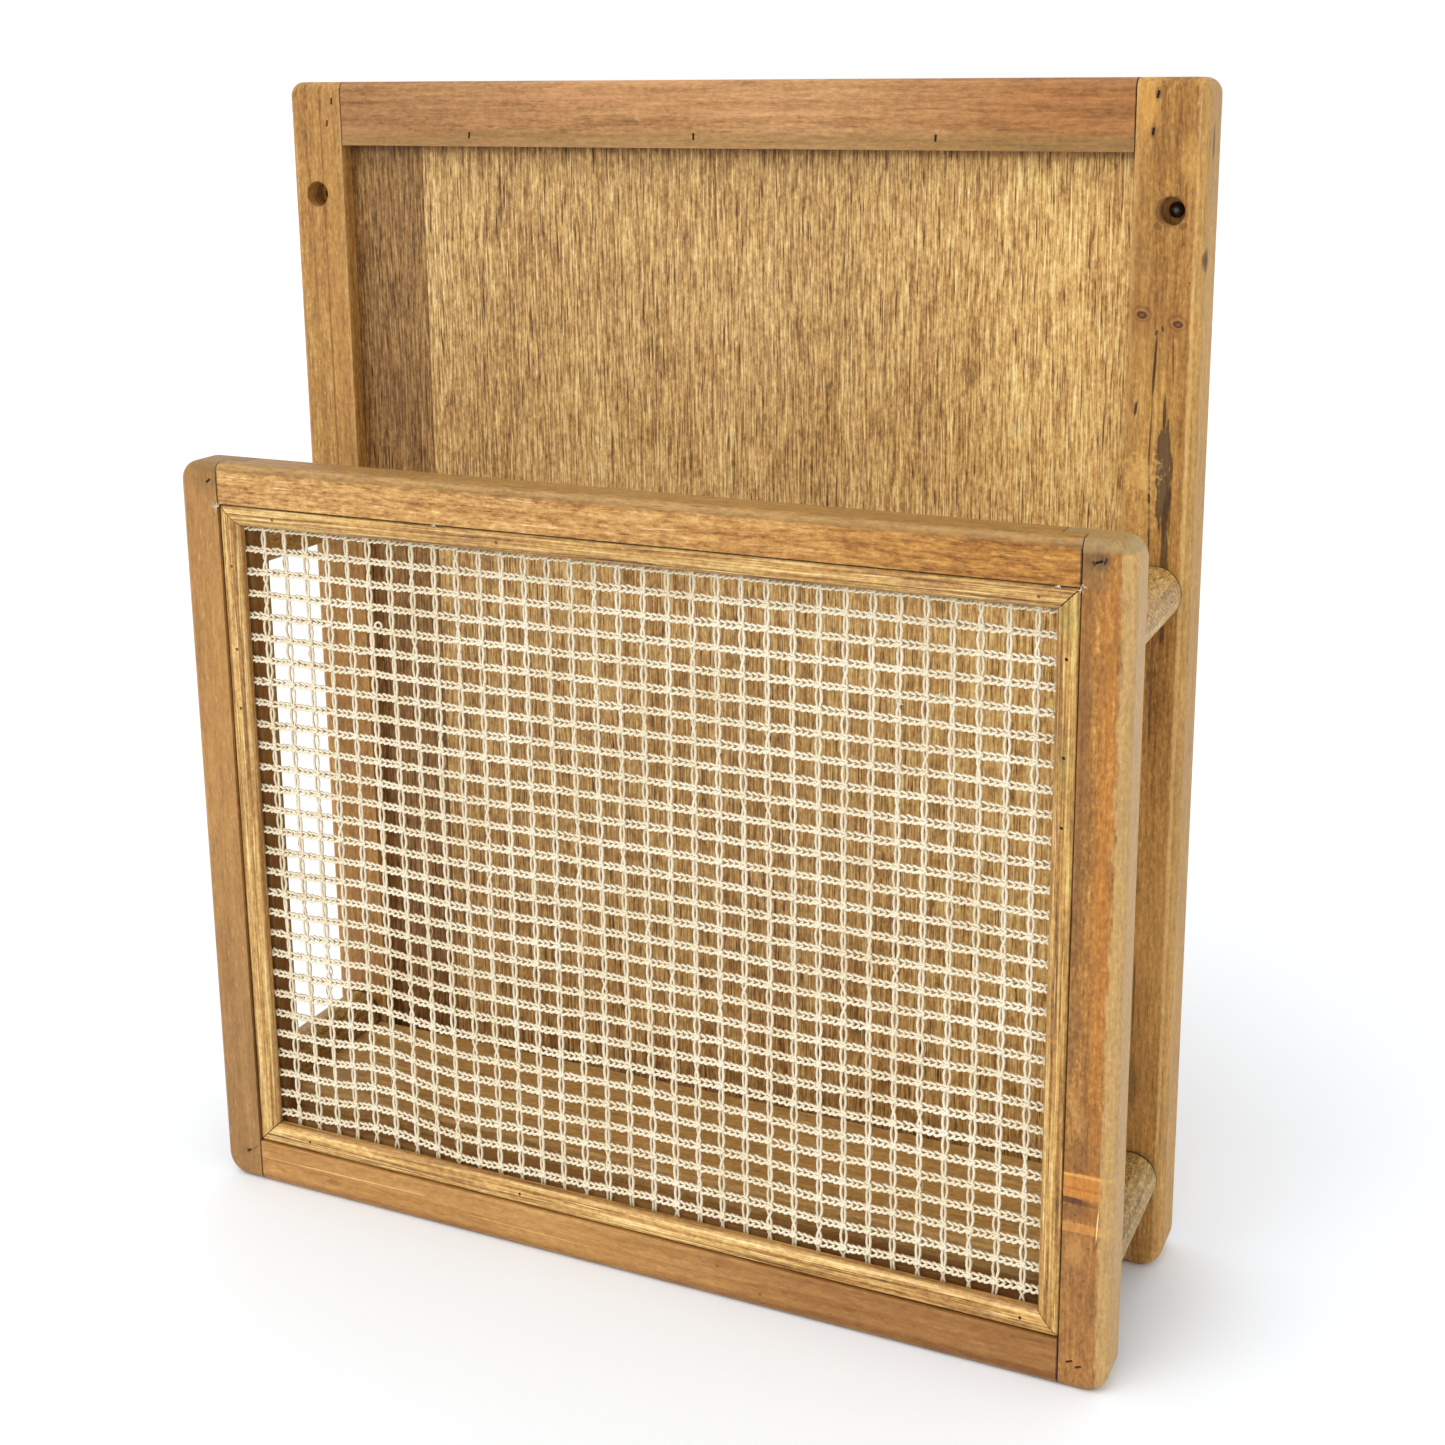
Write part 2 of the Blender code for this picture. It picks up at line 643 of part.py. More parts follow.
def build():
    for obj in list(bpy.data.objects):
        bpy.data.objects.remove(obj)
    front_stiles = {side: front_stile(side) for side in (-1, 1)}
    front_rails = {level: front_rail(level) for level in ("top", "bottom")}
    back_stiles = {side: back_stile(side) for side in (-1, 1)}
    back_rails = {level: back_rail(level) for level in ("top", "bottom")}
    panel = back_panel()
    net = net_panel()
    beads = {
        "top": bead("bead_top", "X", 1),
        "bottom": bead("bead_bottom", "X", -1),
        "left": bead("bead_left", "Z", -1),
        "right": bead("bead_right", "Z", 1),
    }
    for level in DOWEL_HEIGHTS:
        for side in (-1, 1):
            dowel(level, side)
    board = bottom_board()
    for side in (-1, 1):
        hanging_screw(side)

    for name, place in FRONT_PINS.items():
        side = 1 if place[0] > 0 else -1
        rail = front_rails["top" if place[1] > FRONT_HEIGHT / 2 else "bottom"]
        flat_pin(name, place, FRONT_FACE, (front_stiles[side], rail))
    for name, place in BACK_PINS.items():
        side = 1 if place[0] > 0 else -1
        rail = back_rails["top" if place[1] > BACK_HEIGHT / 2 else "bottom"]
        flat_pin(name, place, BACK_FACE, (back_stiles[side], rail))
    for name, place in PANEL_BRADS.items():
        flat_pin(name, place, BACK_FACE, (back_rails["top"], panel))
    bead_brads(beads, net, front_stiles, front_rails)
    for side, word in ((-1, "left"), (1, "right")):
        place = (side * BOARD_NAIL_X, BOARD_NAIL_Z)
        fastener("board_nail_front_" + word, place, REBATE_FLOOR, NAIL, (front_rails["bottom"], board))
        rear_pieces = (back_rails["bottom"], panel, board)
        fastener("board_nail_rear_" + word, place, BACK_REAR, NAIL, rear_pieces, heading=-1)


build()
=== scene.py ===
"""The looks of the magazine rack: wood, net, steel, light and camera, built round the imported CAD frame.

Units are metres in the CAD's own axes: +X to the right, +Y to the back, +Z up, origin on the floor.
"""

import math
import random

import bpy
import numpy as np
from mathutils import Matrix, Vector


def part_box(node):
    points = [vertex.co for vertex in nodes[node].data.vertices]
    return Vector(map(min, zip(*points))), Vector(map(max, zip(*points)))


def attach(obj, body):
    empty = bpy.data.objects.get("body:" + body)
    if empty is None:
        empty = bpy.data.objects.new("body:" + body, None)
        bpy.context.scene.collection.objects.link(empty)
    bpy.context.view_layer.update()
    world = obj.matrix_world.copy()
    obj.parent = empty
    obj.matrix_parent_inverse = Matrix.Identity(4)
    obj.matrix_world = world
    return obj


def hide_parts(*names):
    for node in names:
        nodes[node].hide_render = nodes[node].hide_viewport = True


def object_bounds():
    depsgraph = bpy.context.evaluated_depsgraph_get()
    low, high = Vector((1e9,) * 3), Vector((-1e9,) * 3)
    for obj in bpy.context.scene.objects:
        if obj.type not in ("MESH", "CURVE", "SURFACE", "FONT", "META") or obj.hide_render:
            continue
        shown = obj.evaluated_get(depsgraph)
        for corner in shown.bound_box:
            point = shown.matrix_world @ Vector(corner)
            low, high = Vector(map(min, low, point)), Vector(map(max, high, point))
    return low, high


MM = 0.001
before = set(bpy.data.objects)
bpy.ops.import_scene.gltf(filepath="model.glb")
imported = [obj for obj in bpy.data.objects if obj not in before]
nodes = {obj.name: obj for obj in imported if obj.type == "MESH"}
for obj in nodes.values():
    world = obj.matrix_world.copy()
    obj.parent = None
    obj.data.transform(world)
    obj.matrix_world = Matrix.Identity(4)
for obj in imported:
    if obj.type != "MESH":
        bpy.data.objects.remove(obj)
cad_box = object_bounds()

# Camera, matched to the photograph's viewing angle
CAMERA_PLACE = (0.2843, -0.5694, 0.3890)
CAMERA_AZIMUTH = math.radians(23.56)
CAMERA_ELEVATION = math.radians(-12.734)
CAMERA_ROLL = math.radians(-0.235)
CAMERA_LENS = 49.19
CAMERA_SHIFT = (-0.0361, -0.1298)
SENSOR_WIDTH = 36

# Light: a white room, and one wide lamp from above, in front and to the left
ROOM_LIGHT = 1.0
KEY_LIGHT = 1.0
KEY_ANGLE = math.radians(40)
KEY_FROM = (-0.35, -0.8, 1.3)
FLOOR_SIZE = 60
FLOOR_COLOUR = (243, 247, 251)


def linear(colour):
    """An sRGB colour, 0 to 255, as Blender's linear colour with alpha."""
    parts = [c / 255 for c in colour]
    return tuple(p / 12.92 if p <= 0.04045 else ((p + 0.055) / 1.055) ** 2.4 for p in parts) + (1,)


# ---------------------------------------------------------------- materials


class Graph:
    """One material's nodes, built with short calls. A value is a socket, a number or a colour."""

    def __init__(self, name, seed=0.0):
        self.material = bpy.data.materials.new(name)
        self.material.use_nodes = True
        self.nodes = self.material.node_tree.nodes
        self.links = self.material.node_tree.links
        self.nodes.clear()
        self.shader = self.node("ShaderNodeBsdfPrincipled")
        output = self.node("ShaderNodeOutputMaterial")
        self.links.new(self.shader.outputs[0], output.inputs["Surface"])
        self.place = self.node("ShaderNodeTexCoord").outputs["Object"]
        self.x, self.y, self.z = self.node("ShaderNodeSeparateXYZ", {0: self.place}).outputs
        self.seed = seed

    def node(self, kind, inputs=None, **settings):
        made = self.nodes.new(kind)
        for key, value in settings.items():
            setattr(made, key, value)
        for key, value in (inputs or {}).items():
            self.feed(made.inputs[key], value)
        return made

    def feed(self, socket, value):
        if isinstance(value, bpy.types.NodeSocket):
            self.links.new(value, socket)
        else:
            socket.default_value = value

    def set(self, **inputs):
        for key, value in inputs.items():
            self.feed(self.shader.inputs[key.replace("_", " ")], value)

    def math(self, operation, *values, clamp=False):
        inputs = dict(enumerate(values))
        return self.node("ShaderNodeMath", inputs, operation=operation, use_clamp=clamp).outputs[0]

    def add(self, *values):
        total = values[0]
        for value in values[1:]:
            total = self.math("ADD", total, value)
        return total

    def scaled(self, value, by):
        return self.math("MULTIPLY", value, by)

    def noise(self, per_metre, detail=2.0, roughness=0.5, shift=0.0, place=None):
        """Noise from -0.5 to 0.5 whose x, y and z frequencies, in cycles per metre, may differ."""
        offset = [self.seed * 1.7 + shift * 5.3, self.seed * 3.1 - shift * 2.9, shift * 7.7 - self.seed]
        mapped = self.node(
            "ShaderNodeMapping",
            {"Vector": place or self.place, "Scale": per_metre, "Location": offset},
        ).outputs[0]
        inputs = {"Vector": mapped, "Scale": 1.0, "Detail": detail, "Roughness": roughness}
        fac = self.node("ShaderNodeTexNoise", inputs).outputs["Fac"]
        return self.math("SUBTRACT", fac, 0.5)

    def step(self, value, low, high):
        """0 below low, 1 above high, smooth between. With low above high it falls instead."""
        turned = low > high
        inputs = {
            "Value": value,
            "From Min": min(low, high),
            "From Max": max(low, high),
            "To Min": float(turned),
            "To Max": float(not turned),
        }
        return self.node("ShaderNodeMapRange", inputs, interpolation_type="SMOOTHSTEP").outputs[0]

    def ramp(self, value, stops):
        made = self.node("ShaderNodeValToRGB", {0: value})
        elements = made.color_ramp.elements
        while len(elements) < len(stops):
            elements.new(0.5)
        for element, (position, colour) in zip(elements, stops):
            element.position = position
            element.color = linear(colour)
        return made.outputs[0]

    def mix(self, share, a, b, blend="MIX"):
        made = self.node("ShaderNodeMix", data_type="RGBA", blend_type=blend)
        self.feed(made.inputs[0], share)
        for socket, value in ((made.inputs[6], a), (made.inputs[7], b)):
            self.feed(socket, value if isinstance(value, bpy.types.NodeSocket) else linear(value))
        return made.outputs[2]

    def spot(self, centre, half, tilt, ragged, soft, rates):
        """1 inside an ellipsoid turned by tilt about the front-to-back axis, 0 outside, its edge ragged."""
        inputs = {"Vector": self.place, "Location": centre, "Rotation": (0, tilt, 0), "Scale": half}
        local = self.node("ShaderNodeMapping", inputs, vector_type="TEXTURE").outputs[0]
        distance = self.node("ShaderNodeVectorMath", {0: local}, operation="LENGTH").outputs["Value"]
        if ragged:
            distance = self.add(distance, self.scaled(self.noise(rates, 3.0, shift=2.0), ragged))
        return self.step(distance, 1.0 + soft / 2, 1.0 - soft / 2)

    def bump(self, height, distance, strength):
        inputs = {"Height": height, "Distance": distance, "Strength": strength}
        return self.node("ShaderNodeBump", inputs).outputs[0]


FAR = 10.0  # half size of a spot along the directions that it doesn't end in
GRAINS = {"X": (0, 2, 1), "Y": (1, 0, 2), "Z": (2, 0, 1)}  # axis along the grain, then the two across it
FIRST_TONE = 0.1  # where a wood's darkest and lightest colours lie on the scale of tones
LAST_TONE = 0.9
# Edges painted lighter: partly rubbed wear, partly a painted highlight
EDGE_WEAR_AND_HIGHLIGHT = (2.6 * MM, 0.4 * MM)  # distance from an edge where rubbing starts and where it is full
EDGE_WEAR_AND_HIGHLIGHT_PATCHES = 3 * MM  # how much the rubbed width varies
EDGE_WEAR_AND_HIGHLIGHT_RATE = (70, 70, 70)
PORE_EDGE = 0.09  # how softly a pore and a fleck end, on the scale of their noise
FLECK_EDGE = 0.1
CLOUD_EDGES = (-0.04, 0.2)
RAG_RATE = (90, 420)
SPOT_RATE = (160, 700)

# Shares, and noise rates in cycles per metre along and across the grain
WOOD_LOOK = {
    "blotch": 0.6,
    "blotch_rate": (14, 50),
    "streak": 0.45,
    "streak_rate": (14, 260),
    "fibre": 0.95,
    "fibre_rate": (80, 1000),
    "ring": 0.1,
    "ring_gap": 3.4 * MM,
    "heart": (24 * MM, 31 * MM),
    "mottle": 0.6,
    "mottle_rate": (420, 900),
    "pores": 0.5,
    "pore_rate": (110, 2100),
    "pore_limit": 0.15,
    "pore_tone": (150, 112, 78),
    "flecks": 0.5,
    "fleck_rate": (240, 1500),
    "fleck_limit": 0.12,
    "fleck_tone": (240, 200, 136),
    "warp": 1.6 * MM,
    "fine": 0.4,
    "worn": 0.3,
    "edge_wear_and_highlight_tone": (222, 178, 112),
    "clouds": (),
    "zones": (),
    "covers": (),
    "spots": (),
    "roughness": 0.5,
    "grip": 0.16 * MM,
    "shine": 0.32,
}


def per_axis(grain, along, across):
    """Noise frequencies for the three axes, with one value along the grain and one across it."""
    rates = [across] * 3
    rates[GRAINS[grain][0]] = along
    return rates


def wood(name, grain, box, tones, seed=0.0, **look):
    """Sawn and sanded wood with an oil finish. tones are sRGB colours from dark to light.

    look changes WOOD_LOOK: blotch, streak, fibre, ring and mottle are shares of the tone, fine is the
    contrast of the finest texture, pores and flecks are short dark and light marks, clouds are soft
    stains, zones are bands of another colour across the piece, some of them painted shade, spots are
    marks on its face, some of them painted light, covers are zones over the spots, and worn says how
    far its edges are lighter, partly by rubbing and partly by a painted highlight.
    """
    g = Graph(name, seed)
    get = {**WOOD_LOOK, **look}

    # The grain wanders: every texture below reads this warped place
    drift = g.scaled(g.noise(per_axis(grain, 9, 22), 2.0, shift=1.0), get["warp"] * 2)
    drift_deep = g.scaled(g.noise(per_axis(grain, 8, 18), 2.0, shift=3.0), get["warp"] * 2)
    axes = [g.x, g.y, g.z]
    _, across, deep = GRAINS[grain]
    warped = list(axes)
    warped[across] = g.add(axes[across], drift)
    warped[deep] = g.add(axes[deep], drift_deep)
    place = g.node("ShaderNodeCombineXYZ", dict(enumerate(warped))).outputs[0]

    # Growth rings round a heart that lies outside the piece
    low, high = box
    heart = [low[across] - get["heart"][0], high[deep] + get["heart"][1]]
    sides = [g.math("SUBTRACT", warped[across], heart[0]), g.math("SUBTRACT", warped[deep], heart[1])]
    radius = g.math("SQRT", g.add(g.math("POWER", sides[0], 2.0), g.math("POWER", sides[1], 2.0)))
    year = g.math("FRACT", g.add(g.math("DIVIDE", radius, get["ring_gap"]), g.noise(per_axis(grain, 5, 60))))
    late = g.math("MULTIPLY", g.step(year, 0.15, 0.85), g.step(year, 1.0, 0.86))

    fibre = g.noise(per_axis(grain, *get["fibre_rate"]), 3.0, 0.6, shift=4.0, place=place)
    streak = g.noise(per_axis(grain, *get["streak_rate"]), 2.0, 0.55, shift=5.0, place=place)
    blotch = g.noise(per_axis(grain, *get["blotch_rate"]), 2.0, 0.5, shift=6.0)
    mottle = g.noise(per_axis(grain, *get["mottle_rate"]), 2.0, 0.7, shift=7.0)
    pore = g.noise(per_axis(grain, *get["pore_rate"]), 2.0, 0.5, shift=8.0, place=place)
    fleck = g.noise(per_axis(grain, *get["fleck_rate"]), 2.0, 0.5, shift=12.0, place=place)
    tone = g.add(
        0.5,
        g.scaled(blotch, get["blotch"]),
        g.scaled(streak, get["streak"]),
        g.scaled(fibre, get["fibre"]),
        g.scaled(mottle, get["mottle"]),
        g.scaled(late, -get["ring"]),
    )
    span = (LAST_TONE - FIRST_TONE) / (len(tones) - 1)
    colour = g.ramp(tone, [(FIRST_TONE + span * i, shade) for i, shade in enumerate(tones)])
    lights = g.scaled(g.step(fleck, get["fleck_limit"], get["fleck_limit"] + FLECK_EDGE), get["flecks"])
    colour = g.mix(lights, colour, get["fleck_tone"])
    for shade, share, rates in get["clouds"]:
        where = g.step(g.noise(rates, 2.0, 0.5, shift=9.0 + share), *CLOUD_EDGES)
        colour = g.mix(g.scaled(where, share), colour, shade)

    def banded(colour, zones):
        for axis, start, end, shade, share, blend, rag in zones:
            edge = axes[axis]
            if rag:
                wander = g.noise(per_axis(grain, *RAG_RATE), 4.0, 0.7, shift=10.0)
                edge = g.add(edge, g.scaled(wander, rag * 2))
            colour = g.mix(g.scaled(g.step(edge, start, end), share), colour, shade, blend)
        return colour

    colour = banded(colour, get["zones"])

    # Edges lighter, in patches: partly rubbed wear and partly a painted highlight along them
    nearest = []
    for axis in (across, deep):
        to_low = g.math("SUBTRACT", axes[axis], low[axis])
        to_high = g.math("SUBTRACT", high[axis], axes[axis])
        nearest.append(g.math("MINIMUM", to_low, to_high))
    from_edge = g.math("MAXIMUM", *nearest)
    patchy = g.scaled(g.noise(EDGE_WEAR_AND_HIGHLIGHT_RATE, 3.0, shift=11.0), EDGE_WEAR_AND_HIGHLIGHT_PATCHES)
    rubbed = g.step(g.add(from_edge, patchy), *EDGE_WEAR_AND_HIGHLIGHT)
    colour = g.mix(g.scaled(rubbed, get["worn"]), colour, get["edge_wear_and_highlight_tone"])

    holes = g.scaled(g.step(pore, get["pore_limit"], get["pore_limit"] + PORE_EDGE), get["pores"])
    colour = g.mix(holes, colour, get["pore_tone"], "MULTIPLY")
    dents = []
    for mark in get["spots"]:
        where = g.spot(
            mark["at"],
            mark["half"],
            mark.get("tilt", 0.0),
            mark.get("ragged", 0.5),
            mark.get("soft", 0.5),
            mark.get("rates", per_axis(grain, *SPOT_RATE)),
        )
        colour = g.mix(g.scaled(where, mark["share"]), colour, mark["shade"], mark.get("blend", "MIX"))
        if mark.get("dent"):
            dents.append(g.scaled(where, -mark["dent"]))

    colour = banded(colour, get["covers"])

    # The finest texture shows through everything above
    fine = g.add(0.5, g.scaled(fibre, 0.6), g.scaled(mottle, 0.9), g.scaled(pore, -0.3))
    colour = g.mix(get["fine"], colour, fine, "OVERLAY")
    height = g.add(g.scaled(fibre, 0.7), g.scaled(mottle, 0.25), g.scaled(holes, -0.8), *dents)
    gloss = g.add(get["roughness"], g.scaled(fibre, 0.25), g.scaled(blotch, 0.2), g.scaled(rubbed, 0.06))
    g.set(Base_Color=colour, Roughness=gloss, Normal=g.bump(height, get["grip"], 0.8))
    g.set(Specular_IOR_Level=get["shine"])
    return g.material


def spot(x, z, half_x, half_z, shade, share=1.0, **more):
    """A mark on a face that looks to the front, in millimetres."""
    return {
        "at": (x * MM, 0, z * MM),
        "half": (half_x * MM, FAR, half_z * MM),
        "shade": shade,
        "share": share,
        **more,
    }


def side_spot(y, z, half_y, half_z, shade, share=1.0):
    """A mark on the face that looks to the right, in millimetres."""
    return {
        "at": (cad_box[1][0], y * MM, z * MM),
        "half": (4 * MM, half_y * MM, half_z * MM),
        "shade": shade,
        "share": share,
    }


def knot(x, z, size):
    """A small tight knot, as marks: a wide stain, swirled grain round it, a dark ring and a lighter core."""
    return [
        spot(x, z + 0.5 * size, 3.4 * size, 4.6 * size, (150, 100, 48), 0.45, soft=1.3, ragged=0.7),
        spot(x, z + 0.3 * size, 2.3 * size, 1.9 * size, (112, 72, 38), 0.65, soft=0.4, ragged=0.5, tilt=0.3),
        spot(x, z + 0.2 * size, 1.9 * size, 1.5 * size, (170, 120, 66), 0.8, soft=0.4, ragged=0.4, tilt=0.3),
        spot(x, z, 1.35 * size, 0.9 * size, (84, 52, 30), 0.95, soft=0.35, ragged=0.4, tilt=0.2),
        spot(x, z, 0.6 * size, 0.4 * size, (128, 84, 50), 0.8, soft=0.6, ragged=0.3, dent=0.4),
    ]


def steel(name, colour, roughness):
    """A small sunk fastener of dark steel with a little rust."""
    g = Graph(name)
    rust = g.step(g.noise((900, 900, 900), 3.0, 0.6), -0.05, 0.25)
    g.set(
        Base_Color=g.mix(g.scaled(rust, 0.5), colour, (74, 44, 26)),
        Roughness=g.add(roughness, g.scaled(rust, 0.3)),
        Metallic=0.6,
        Normal=g.bump(g.noise((1500, 1500, 1500), 3.0), 0.05 * MM, 0.6),
    )
    return g.material


def lacquer(name):
    """Glossy black screw enamel, thin and a little uneven."""
    g = Graph(name)
    uneven = g.noise((500, 500, 500), 3.0, 0.6)
    g.set(
        Base_Color=g.mix(g.step(uneven, 0.0, 0.3), (16, 14, 13), (40, 34, 30)),
        Roughness=g.add(0.16, g.scaled(uneven, 0.2)),
        Coat_Weight=0.6,
        Coat_Roughness=0.08,
        Normal=g.bump(uneven, 0.08 * MM, 0.5),
    )
    return g.material


def twine(name):
    """Unbleached cotton twine. The UV map holds millimetres along the twine and turns round it."""
    g = Graph(name, 4.0)
    uv = g.node("ShaderNodeUVMap", uv_map=TWINE_UV).outputs[0]
    u, v, _ = g.node("ShaderNodeSeparateXYZ", {0: uv}).outputs
    turns = g.add(g.scaled(u, 1 / TWIST_PITCH), g.scaled(v, 2.0))
    twist = g.math("SINE", g.scaled(turns, 2 * math.pi))
    fuzz = g.noise((3800, 3800, 3800), 3.0, 0.7)
    soil = g.noise((40, 40, 40), 3.0, 0.6, shift=1.0)
    tone = g.add(0.66, g.scaled(twist, 0.1), g.scaled(fuzz, 0.5), g.scaled(soil, 0.6))
    colour = g.ramp(tone, [(0.1, (180, 152, 106)), (0.45, (228, 210, 170)), (0.85, (253, 245, 222))])
    # Painted shade: the twine is darker where it lies just behind the front of the net, for the shade between
    # the strands
    sunk = g.step(g.y, (NET_PLANE - 0.4) * MM, (NET_PLANE + 0.25) * MM)
    behind = g.step(g.y, (NET_PLANE + 0.65) * MM, (NET_PLANE + 0.3) * MM)
    deep = g.math("MULTIPLY", sunk, behind)
    colour = g.mix(deep, colour, (176, 146, 100), "MULTIPLY")
    g.set(
        Base_Color=colour,
        Roughness=0.9,
        Sheen_Weight=0.25,
        Sheen_Roughness=0.5,
        Normal=g.bump(g.add(twist, g.scaled(fuzz, 2.0)), 0.06 * MM, 0.7),
    )
    return g.material


# ---------------------------------------------------------------- the CAD pieces' surfaces

GOLD = [(138, 86, 36), (184, 132, 70), (212, 162, 98), (236, 194, 132)]
BROWN = [(104, 64, 28), (152, 104, 50), (178, 130, 70), (206, 160, 98)]
ROSE = [(128, 84, 44), (172, 122, 72), (192, 144, 94), (212, 168, 116)]
CARAMEL = [(130, 86, 40), (168, 120, 62), (186, 138, 76), (206, 160, 98)]
HONEY = [(112, 70, 28), (160, 112, 54), (186, 138, 72), (214, 170, 102)]
ORANGE = [(96, 56, 22), (142, 94, 40), (172, 120, 56), (206, 156, 90)]
PALE = [(148, 110, 58), (184, 144, 84), (204, 164, 100), (222, 186, 124)]
STRAW = [(104, 64, 24), (174, 124, 58), (216, 172, 98), (250, 220, 156)]
OLIVE = [(108, 78, 38), (156, 120, 62), (188, 150, 86), (220, 188, 122)]
PLY = [(100, 66, 30), (164, 122, 68), (206, 164, 102), (242, 210, 150)]
SAPWOOD = (196, 158, 100)
OLD_TOP = (146, 112, 62)
INK = (50, 32, 20)


def seam_shade_and_dirt(axis, at, towards, share=0.8, reach=0.4 * MM):
    """A zone of painted shade, with some dirt, along an edge at a seam: at is the edge's place on the axis,
    and towards points into the wood.
    """
    return (axis, at + towards * reach, at + towards * 0.05 * MM, INK, share, "MIX", 0.1 * MM)


def right_stile_marks():
    """Figure, cracks and rubbed places on the front frame's right stile."""
    band = {"ragged": 1.3, "rates": (120, 60, 460), "soft": 0.3}
    return [
        spot(157, 76.5, 40, 2.4, (138, 92, 46), 0.45, **band),
        spot(157, 69.0, 40, 4.2, (206, 134, 56), 0.8, **band),
        spot(157, 72.6, 40, 0.5, (236, 180, 100), 0.6, **band),
        spot(157, 68.2, 40, 0.45, (166, 98, 40), 0.6, **band),
        spot(152, 64.0, 10, 1.1, (92, 52, 26), 0.9, tilt=0.03, **band),
        spot(152, 60.2, 8.5, 2.6, (142, 90, 44), 0.7, **band),
        spot(157, 55.4, 40, 1.7, (204, 142, 70), 0.7, **band),
        spot(157, 53.2, 40, 0.4, (150, 96, 46), 0.6, **band),
        spot(158.4, 170, 2.6, 95, (198, 126, 46), 0.5, soft=1.4, ragged=1.6),
        spot(151.2, 200, 2.0, 75, (124, 86, 44), 0.6, soft=1.4, ragged=1.2),
        spot(155.4, 110, 0.8, 28, (130, 84, 40), 0.4, soft=1.2, ragged=1.6),
        spot(153.4, 259, 4.2, 7.0, (132, 98, 56), 0.6, soft=1.2),
        spot(154.2, 260.7, 3.2, 2.4, (98, 70, 40), 0.5, soft=1.0),
        spot(156.0, 261.0, 0.4, 1.1, INK, 0.95, tilt=0.3, dent=1.0, ragged=0.3),
        spot(152.7, 260.2, 0.4, 0.8, INK, 0.9, tilt=-0.5, dent=1.0, ragged=0.3),
        spot(156.6, 38.0, 0.4, 0.4, INK, 0.7),
        spot(153.4, 59.5, 0.4, 0.4, INK, 0.6),
        spot(154.0, 47.0, 2.6, 5.0, (204, 152, 84), 0.4, soft=1.2),
        spot(153.0, 92.0, 2.2, 7.0, (214, 160, 92), 0.35, soft=1.2, tilt=-0.25),
        spot(160.2, 57.0, 0.22, 5.4, (250, 216, 146), 0.95, tilt=0.05, ragged=0.4),
    ]


def left_stile_marks():
    """The slanting pin mark, the dirty top and the worn foot of the front frame's left stile."""
    return [
        spot(-153.5, 262.0, 7.0, 5.0, (128, 92, 48), 0.5, soft=1.4),
        spot(-154.5, 11.1, 1.6, 1.3, (110, 74, 40), 0.4, soft=1.0),
        spot(-151.5, 12.8, 0.3, 1.6, INK, 0.5, tilt=0.8),
        spot(-157.0, 198.0, 0.8, 10.0, (150, 104, 54), 0.4, soft=1.0),
    ]


